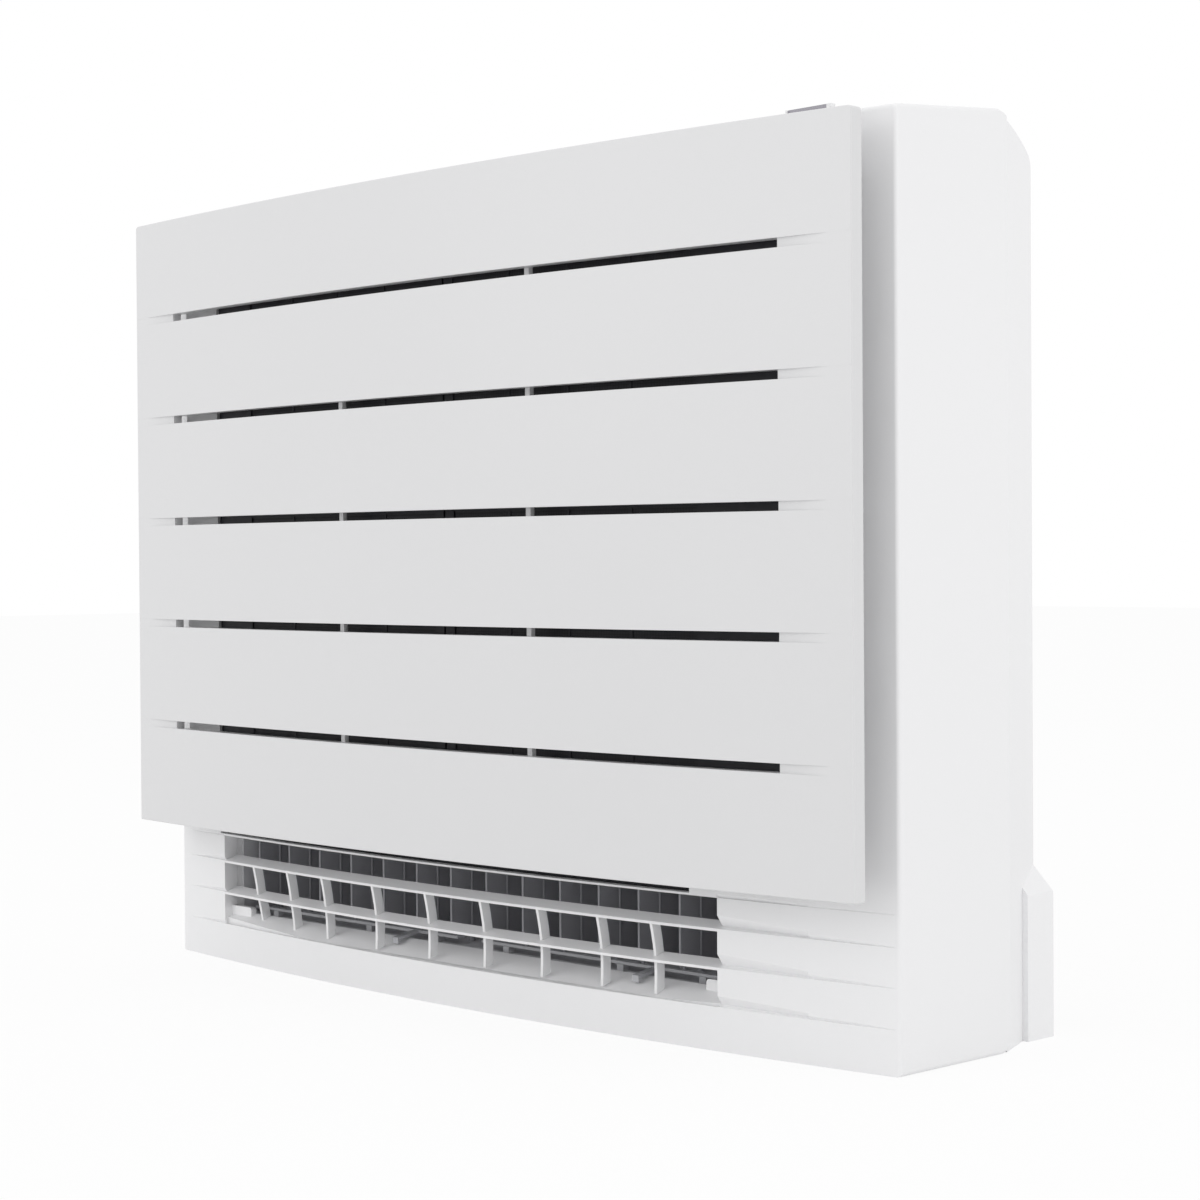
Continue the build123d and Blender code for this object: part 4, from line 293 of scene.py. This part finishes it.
# Pale grey ABS, polished where a finger lands.
BUTTON_ABS = Finish("button_abs_pale_grey", "d5d7d9", "cfd1d3", roughness=0.35, size_mm=0.7, relief_mm=0.004)
# Shrink sleeve of the electrolytic capacitors: smooth dark blue vinyl.
SLEEVE = Finish("capacitor_sleeve_vinyl", "1c2740", "202c48", roughness=0.3, size_mm=6.0, relief_mm=0.0)
# Moulded white nylon of plugs and relay cases.
NYLON = Finish("connector_nylon_white", "e4e2da", "dad8cf", roughness=0.5, size_mm=1.0, relief_mm=0.01)


# ---- Building pieces -----------------------------------------------------------------------------
Point = tuple[float, float, float]


@dataclass
class Piece:
    """A mesh under construction, in millimetres, that rides on one body once it is placed."""

    name: str
    body: str
    slot: str
    finish: Finish
    mesh: bmesh.types.BMesh = field(default_factory=bmesh.new)

    def block(self, low: Point, high: Point, bevel: float = 0.0) -> None:
        """Add a block between two corners.

        Args:
            low: Its lowest corner.
            high: Its highest corner.
            bevel: The radius of its edges.
        """
        size = Vector(high) - Vector(low)
        middle = (Vector(high) + Vector(low)) / 2
        shape = Matrix.Translation(middle) @ Matrix.Diagonal((*size, 1.0))
        verts = bmesh.ops.create_cube(self.mesh, size=1.0, matrix=shape)["verts"]
        if bevel:
            edges = {edge for vert in verts for edge in vert.link_edges}
            bmesh.ops.bevel(self.mesh, geom=list(edges), offset=bevel, segments=BEVEL_STEPS,
                             profile=0.5, affect="EDGES")

    def rod(self, start: Point, end: Point, radius: float, tip: float) -> None:
        """Add a round rod, or a cone where its tip has another radius.

        Args:
            start: The middle of its first end.
            end: The middle of its second end.
            radius: The radius at the first end.
            tip: The radius at the second end.
        """
        axis = Vector(end) - Vector(start)
        turn = axis.to_track_quat("Z", "Y").to_matrix().to_4x4()
        shape = Matrix.Translation((Vector(start) + Vector(end)) / 2) @ turn
        bmesh.ops.create_cone(self.mesh, cap_ends=True, segments=ROD_SIDES, radius1=radius, radius2=tip,
                              depth=axis.length, matrix=shape)

    def ribbon(self, left: list[Point], right: list[Point]) -> None:
        """Add a flat ribbon between two rows of points.

        Args:
            left: The points along its first side.
            right: As many points along its second side.
        """
        rows = [[self.mesh.verts.new(point) for point in row] for row in (left, right)]
        for k in range(len(left) - 1):
            self.mesh.faces.new((rows[0][k], rows[0][k + 1], rows[1][k + 1], rows[1][k]))

    def place(self) -> bpy.types.Object:
        """Turn the finished mesh into an object of the scene and let it ride on its body.

        Returns:
            The placed object.
        """
        bmesh.ops.scale(self.mesh, vec=(MM, MM, MM), verts=self.mesh.verts)
        data = bpy.data.meshes.new(self.name)
        self.mesh.to_mesh(data)
        self.mesh.free()
        for polygon in data.polygons:
            polygon.use_smooth = True
        data.set_sharp_from_angle(angle=math.radians(SHARP_DEGREES))
        data.materials.append(self.finish.make())
        piece = bpy.data.objects.new(self.name, data)
        bpy.context.scene.collection.objects.link(piece)
        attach(piece, self.body)
        LOG.info("placed %s with %d faces", self.name, len(data.polygons))
        return piece


def corners_mm(node: str) -> tuple[Vector, Vector]:
    """Measure a CAD node.

    Args:
        node: The CAD node's name.

    Returns:
        Its lowest and highest corners in millimetres.
    """
    low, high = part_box(node)
    return Vector(low) / MM, Vector(high) / MM


def dress(node: str, finish: Finish) -> None:
    """Give a carried-over CAD node one finish in all its material slots.

    Args:
        node: The CAD node's name.
        finish: The finish that it gets.
    """
    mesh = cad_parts[node].data
    material = finish.make()
    if not mesh.materials:
        mesh.materials.append(material)
    for k in range(len(mesh.materials)):
        mesh.materials[k] = material
    LOG.info("dressed %s as %s", node, finish.name)


@dataclass
class Assembly:
    """A sub-assembly whose CAD nodes keep their shape and get a finish each."""

    finishes: dict[str, Finish] = field(default_factory=dict)

    def build(self) -> None:
        """Dress every node of the assembly."""
        for node, finish in self.finishes.items():
            dress(node, finish)


@dataclass
class Cabinet(Assembly):
    """Front shell, rear casing and what is fixed to them."""

    window_rise: float = 6.2
    bezel_end: float = 3.6
    bezel_side: float = 1.0
    bezel_proud: float = 0.7
    bezel_lap: float = 0.2
    bezel_sink: float = 0.3
    bezel_edge: float = 0.3
    bezel_end_edge: float = 0.5
    # The outlet seal's near-black foam is a painted shade for the shadow in the gap under the panel.
    finishes: dict[str, Finish] = field(default_factory=lambda: {
        "front_shell": SHELL_ABS, "rear_casing": CASING_ABS, "mounting_plate": GALVANISED,
        "outlet_seal": SEAL_FOAM_PAINTED_SHADE, "display_window": LENS, "on_off_button": BUTTON_ABS,
        "airflow_switch": PHENOLIC, "panel_stopper_left": LINK_PLASTIC, "panel_stopper_right": LINK_PLASTIC,
    })

    def build(self) -> None:
        """Dress the cabinet and frame its display window."""
        super().build()
        self.bezel()

    def bezel(self) -> None:
        """White frame round the display window, with a wider end at the right."""
        low, high = corners_mm("display_window")
        base = high.z - self.window_rise
        front, back = low.y - self.bezel_proud, high.y
        frame_piece = Piece("display_bezel", "cabinet", "shell_plastic", SHELL_ABS)
        edge = self.bezel_side
        left, right = low.x - edge, high.x + self.bezel_end
        frame_piece.block((left, front, base - self.bezel_sink), (right, back, base + edge), self.bezel_edge)
        frame_piece.block((left, front, base), (low.x + self.bezel_lap, back, high.z), self.bezel_edge)
        frame_piece.block((high.x - self.bezel_lap, front, base), (right, back, high.z), self.bezel_end_edge)
        frame_piece.place()


@dataclass
class FrontPanel(Assembly):
    """The bowed, slotted panel and its pads."""

    # The panel's finish carries a painted shade: its colour is darker than the shell's same white ABS.
    finishes: dict[str, Finish] = field(default_factory=lambda: {
        "front_panel": PANEL_ABS_PAINTED_SHADE, "panel_pads": RUBBER,
    })


@dataclass
class AirFilters(Assembly):
    """Two curved filters with their nets and pull tabs, and the deodorising cassettes."""

    bow_half: float = 374.0
    bow_depth: float = 20.7
    front_y: float = -119.0
    net_depth: float = 23.85
    frame_depth: float = 22.8
    net_pitch: float = 2.4
    thread: float = 0.5
    net_x: tuple[float, float] = (10.5, 235.5)
    net_margin: float = 9.5
    net_crossing: float = 0.05
    net_steps: int = 12
    tab_x: float = 150.0
    tab_size: Point = (26.0, 2.2, 12.0)
    tab_inset: float = 1.0
    tab_sink: float = 0.6
    tab_edge: float = 0.8
    ridge_count: int = 3
    ridge_proud: float = 0.6
    ridge_sink: float = 0.3
    ridge_half: float = 0.5
    ridge_edge: float = 0.3
    finishes: dict[str, Finish] = field(default_factory=lambda: {
        "air_filter_left": FILTER_FRAME, "air_filter_right": FILTER_FRAME,
        "deodoriser_left": DEODORISER, "deodoriser_right": DEODORISER,
    })

    def build(self) -> None:
        """Dress the filters, then lay a net and two tabs on each."""
        super().build()
        for side, name in ((-1, "left"), (1, "right")):
            self.net(side, name)
            self.tabs(side, name)

    def bow_y(self, x: float, depth: float) -> float:
        """Find the bowed surface at one depth behind the panel's front.

        Args:
            x: Distance from the middle.
            depth: Depth behind the front.

        Returns:
            The surface's y.
        """
        radius = (self.bow_half ** 2 + self.bow_depth ** 2) / (2 * self.bow_depth)
        return self.front_y + radius - math.sqrt((radius - depth) ** 2 - x * x)

    def net(self, side: int, name: str) -> None:
        """Crossed threads in front of the filter's sheet.

        Args:
            side: -1 for the left filter, 1 for the right one.
            name: The filter's side in words.
        """
        low, high = corners_mm(f"air_filter_{name}")
        z0, z1 = low.z + self.net_margin, high.z - self.net_margin
        x0, x1 = self.net_x
        half = self.thread / 2
        net = Piece(f"filter_net_{name}", "cabinet", "filter_plastic", FILTER_NET)
        for k in range(1, int((x1 - x0) / self.net_pitch)):
            x = side * (x0 + k * self.net_pitch)
            y = self.bow_y(x, self.net_depth)
            net.ribbon([(x - half, y, z0), (x - half, y, z1)], [(x + half, y, z0), (x + half, y, z1)])
        stations = [side * (x0 + (x1 - x0) * k / self.net_steps) for k in range(self.net_steps + 1)]
        for k in range(1, int((z1 - z0) / self.net_pitch)):
            z = z0 + k * self.net_pitch
            lower = [(x, self.bow_y(x, self.net_depth - self.net_crossing), z - half) for x in stations]
            net.ribbon(lower, [(x, y, z + half) for x, y, _ in lower])
        net.place()

    def tabs(self, side: int, name: str) -> None:
        """Pull tabs at the lower and upper rim of one filter.

        Args:
            side: -1 for the left filter, 1 for the right one.
            name: The filter's side in words.
        """
        low, high = corners_mm(f"air_filter_{name}")
        width, thick, tall = self.tab_size
        for where, z in (("lower", low.z + self.tab_inset), ("upper", high.z - self.tab_inset - tall)):
            x = side * self.tab_x
            y = self.bow_y(x, self.frame_depth)
            tab = Piece(f"filter_tab_{name}_{where}", "cabinet", "link_plastic", LINK_PLASTIC)
            tab.block((x - width / 2, y - thick, z), (x + width / 2, y + self.tab_sink, z + tall),
                      self.tab_edge)
            for k in range(self.ridge_count):
                ridge = z + tall * (k + 1) / (self.ridge_count + 1)
                tab.block((x - width / 3, y - thick - self.ridge_proud, ridge - self.ridge_half),
                          (x + width / 3, y - thick + self.ridge_sink, ridge + self.ridge_half),
                          self.ridge_edge)
            tab.place()


@dataclass
class AirPath(Assembly):
    """Heat exchanger, fan, ducts and pipes."""

    foil_pitch: float = 2.0
    foil_thick: float = 0.25
    finishes: dict[str, Finish] = field(default_factory=lambda: {
        "coil_end_plates": GALVANISED, "coil_tubes": COPPER,
        "drain_pan": PAN_FOAM, "drain_hose": HOSE_VINYL, "bell_mouth": DUCT_PLASTIC,
        "fan_wheel": FAN_PLASTIC, "motor_shaft": GROUND_STEEL, "shaft_nut": GROUND_STEEL,
        "fan_motor": MOTOR_ENAMEL, "motor_clamp": GALVANISED, "motor_bushes": RUBBER, "screws": GROUND_STEEL,
        "upper_duct": DUCT_PLASTIC, "upper_flap": SHELL_ABS, "flap_motor": MOTOR_ENAMEL,
        "gas_pipe": COPPER, "liquid_pipe": COPPER, "flare_unions": BRASS,
    })

    def build(self) -> None:
        """Dress the air path and stack the heat exchanger's foils."""
        super().build()
        self.foils()

    def foils(self) -> None:
        """Stack thin foils in the place of the plain block, at 2 mm where about 1.4 mm is common."""
        low, high = corners_mm("coil_fins")
        stack = Piece("fin_stack", "cabinet", "fin_aluminium", FIN_FOIL)
        count = int((high.x - low.x) / self.foil_pitch)
        for k in range(count + 1):
            x = low.x + k * self.foil_pitch
            stack.block((x, low.y, low.z), (x + self.foil_thick, high.y, high.z))
        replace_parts(stack.place(), "coil_fins")


@dataclass
class LowerOutlet(Assembly):
    """Lower duct, its damper and the turning fins."""

    fin_count: int = 14
    foot: float = 11.5
    head: float = 3.5
    lip_thick: float = 2.0
    lip_proud: float = 0.9
    lip_sink: float = 0.6
    lip_gap: float = 0.4
    lip_edge: float = 0.6
    # The lower duct and damper take the outlet finish, painted paler than the duct resin as painted light.
    finishes: dict[str, Finish] = field(default_factory=lambda: {
        "lower_duct": OUTLET_PLASTIC_PAINTED_LIGHT, "lower_damper": OUTLET_PLASTIC_PAINTED_LIGHT, "damper_motor": MOTOR_ENAMEL,
        "link_bar_left": LINK_PLASTIC, "link_bar_right": LINK_PLASTIC,
    })

    def build(self) -> None:
        """Dress the duct and every fin, and round the fins' front lips."""
        super().build()
        for k in range(1, self.fin_count + 1):
            dress(f"lower_fin_{k}", LOUVRE_PLASTIC)
            self.lip(k)

    def lip(self, number: int) -> None:
        """Rounded front lip of one fin, which turns with it.

        Args:
            number: The fin's number, from 1 at the left.
        """
        low, high = corners_mm(f"lower_fin_{number}")
        x = (low.x + high.x) / 2
        half = self.lip_thick / 2
        lip = Piece(f"fin_lip_{number}", f"fin_{number}", "fin_plastic", LOUVRE_LIP)
        lip.block((x - half, low.y - self.lip_proud, low.z + self.foot + self.lip_gap),
                  (x + half, low.y + self.lip_sink, high.z - self.head - self.lip_gap), self.lip_edge)
        lip.place()


@dataclass
class ElectricalBay(Assembly):
    """Box, boards, terminals and sensor at the right."""

    board_thick: float = 1.6
    case_gap: float = 6.0
    case_edge: float = 0.6
    relay: Point = (15.0, 14.0, 19.0)
    relay_count: int = 4
    relay_from_left: float = 6.0
    relay_rise: float = 40.0
    plug: Point = (9.0, 7.0, 12.0)
    plug_count: int = 9
    plug_from_right: float = 14.0
    plug_rise: float = 12.0
    can_count: int = 3
    can_pitch: float = 24.0
    can_radius: float = 8.0
    can_length: float = 17.0
    can_rim: float = 1.0
    can_rim_radius: float = 7.2
    can_from_left: float = 34.0
    can_rise: float = 60.0
    finishes: dict[str, Finish] = field(default_factory=lambda: {
        "electrical_box": PHENOLIC, "electrical_lid": GALVANISED, "control_board": BOARD,
        "terminal_block": PHENOLIC, "display_board": BOARD, "room_sensor": PHENOLIC,
    })

    def build(self) -> None:
        """Dress the bay and stand its parts on the control board."""
        super().build()
        low, high = corners_mm("control_board")
        face = high.y - self.board_thick
        self.row("board_relays", self.relay, (low.x + self.relay_from_left, face, low.z + self.relay_rise),
                 self.relay_count)
        self.row("board_plugs", self.plug, (high.x - self.plug_from_right, face, low.z + self.plug_rise),
                 self.plug_count)
        self.capacitors(low.x + self.can_from_left, face, low.z + self.can_rise)

    def row(self, name: str, size: Point, foot: Point, count: int) -> None:
        """Stand an upright row of equal cases on the board.

        Args:
            name: The row's name.
            size: Width, depth and height of one case.
            foot: The left, rear and lowest corner of the row, on the board's front face.
            count: How many cases there are.
        """
        wide, deep, tall = size
        x, face, z = foot
        cases = Piece(name, "cabinet", "casing_plastic", NYLON)
        for k in range(count):
            low_z = z + k * (tall + self.case_gap)
            cases.block((x, face - deep, low_z), (x + wide, face, low_z + tall), self.case_edge)
        cases.place()

    def capacitors(self, x: float, face: float, z: float) -> None:
        """Stand an upright row of sleeved capacitors on the board.

        Args:
            x: The middle of the row.
            face: The board's front face.
            z: The height of the lowest one's axis.
        """
        cans = Piece("board_capacitors", "cabinet", "terminal", SLEEVE)
        end = face - self.can_length
        for k in range(self.can_count):
            at = z + k * self.can_pitch
            cans.rod((x, face, at), (x, end, at), self.can_radius, self.can_radius)
            cans.rod((x, end, at), (x, end - self.can_rim, at), self.can_radius, self.can_rim_radius)
        cans.place()


# ---- Studio --------------------------------------------------------------------------------------
@dataclass(frozen=True)
class Lamp:
    """One square soft lamp."""

    name: str
    place: Point
    size: float
    watts: float


@dataclass
class Studio:
    """Floor, light and the camera at the photograph's angle."""

    lamps: tuple[Lamp, ...] = (
        Lamp("key_right", (3.4, -0.3, 1.5), 2.4, 14.0),
        Lamp("fill_front", (-1.6, -3.2, 1.8), 2.6, 19.0),
        Lamp("soft_top", (0.3, -0.9, 3.4), 1.8, 8.0),
    )
    aim: Point = (0.0, 0.0, 0.3)
    floor_half: float = 12.0
    floor_glow: float = 0.9
    sensor_mm: float = 36.0
    clip: tuple[float, float] = (0.05, 60.0)
    camera_at: Point = (1.36029, -1.26755, 0.31675)
    right: Point = (0.69719808, 0.71684829, -0.00658561)
    up: Point = (-0.0069254, 0.01592107, 0.99984927)
    lens_mm: float = 76.77
    world_light: float = 0.84

    def build(self) -> None:
        """Set up everything that isn't the object."""
        self.camera()
        self.floor()
        self.world()
        for lamp in self.lamps:
            self.hang(lamp)
        bpy.context.scene.view_settings.view_transform = "Standard"

    def camera(self) -> None:
        """Place the camera that stands where the photograph was taken."""
        data = bpy.data.cameras.new("camera")
        data.lens, data.sensor_width = self.lens_mm, self.sensor_mm
        data.clip_start, data.clip_end = self.clip
        camera = bpy.data.objects.new("camera", data)
        right, up = Vector(self.right), Vector(self.up)
        back = right.cross(up)
        turned = Matrix((right, up, back)).transposed().to_4x4()
        camera.matrix_world = Matrix.Translation(self.camera_at) @ turned
        bpy.context.scene.collection.objects.link(camera)
        bpy.context.scene.camera = camera

    def floor(self) -> None:
        """Lay a wide pale floor that keeps the object's shadow."""
        mesh = bpy.data.meshes.new("floor")
        half = self.floor_half
        corners = [(-half, -half, 0), (half, -half, 0), (half, half, 0), (-half, half, 0)]
        mesh.from_pydata(corners, [], [(0, 1, 2, 3)])
        floor = bpy.data.objects.new("floor", mesh)
        bpy.context.scene.collection.objects.link(floor)
        material = bpy.data.materials.new("floor_white_paper")
        material.use_nodes = True
        tree = material.node_tree
        tree.nodes.clear()
        paper = add_node(tree, "BsdfDiffuse", {"Color": linear("f4f4f4")}).outputs[0]
        glow = add_node(tree, "Emission", {"Color": linear("ffffff"), "Strength": 1.0}).outputs[0]
        seen = self.seen(tree)
        share = add_node(tree, "Math", {"operation": "MULTIPLY", 1: self.floor_glow}, {0: seen}).outputs[0]
        mixed = add_node(tree, "MixShader", {}, {0: share, 1: paper, 2: glow}).outputs[0]
        add_node(tree, "OutputMaterial", {}, {"Surface": mixed})
        mesh.materials.append(material)

    def seen(self, tree: bpy.types.NodeTree) -> bpy.types.NodeSocket:
        """Tell which rays see the plain white surroundings.

        Args:
            tree: The node tree that gets the nodes.

        Returns:
            1 for rays from the camera and for mirror and glass rays, and 0 for all others.
        """
        path = add_node(tree, "LightPath")
        shiny = add_node(tree, "Math", {"operation": "MAXIMUM"},
                         {0: path.outputs["Is Glossy Ray"],
                          1: path.outputs["Is Transmission Ray"]}).outputs[0]
        return add_node(tree, "Math", {"operation": "MAXIMUM"},
                        {0: path.outputs["Is Camera Ray"], 1: shiny}).outputs[0]

    def world(self) -> None:
        """White surroundings that light the object evenly and show as plain white."""
        world = bpy.data.worlds.new("world")
        bpy.context.scene.world = world
        world.use_nodes = True
        tree = world.node_tree
        tree.nodes.clear()
        seen = self.seen(tree)
        strength = add_node(tree, "MapRange", {"To Min": self.world_light, "To Max": 1.0},
                            {"Value": seen}).outputs[0]
        light = add_node(tree, "Background", {"Color": linear("ffffff")}, {"Strength": strength}).outputs[0]
        add_node(tree, "OutputWorld", {}, {"Surface": light})

    def hang(self, lamp: Lamp) -> None:
        """Hang one lamp and turn it to the object.

        Args:
            lamp: The lamp's place, size and power.
        """
        data = bpy.data.lights.new(lamp.name, "AREA")
        data.size, data.energy = lamp.size, lamp.watts
        light = bpy.data.objects.new(lamp.name, data)
        light.location = lamp.place
        light.rotation_euler = (Vector(self.aim) - Vector(lamp.place)).to_track_quat("-Z", "Y").to_euler()
        bpy.context.scene.collection.objects.link(light)


def main() -> None:
    """Build the studio and dress every sub-assembly."""
    logging.basicConfig(level=logging.INFO)
    Studio().build()
    for assembly in (Cabinet(), FrontPanel(), AirFilters(), AirPath(), LowerOutlet(), ElectricalBay()):
        assembly.build()
        LOG.info("built %s", type(assembly).__name__)


if __name__ == "__main__":
    main()
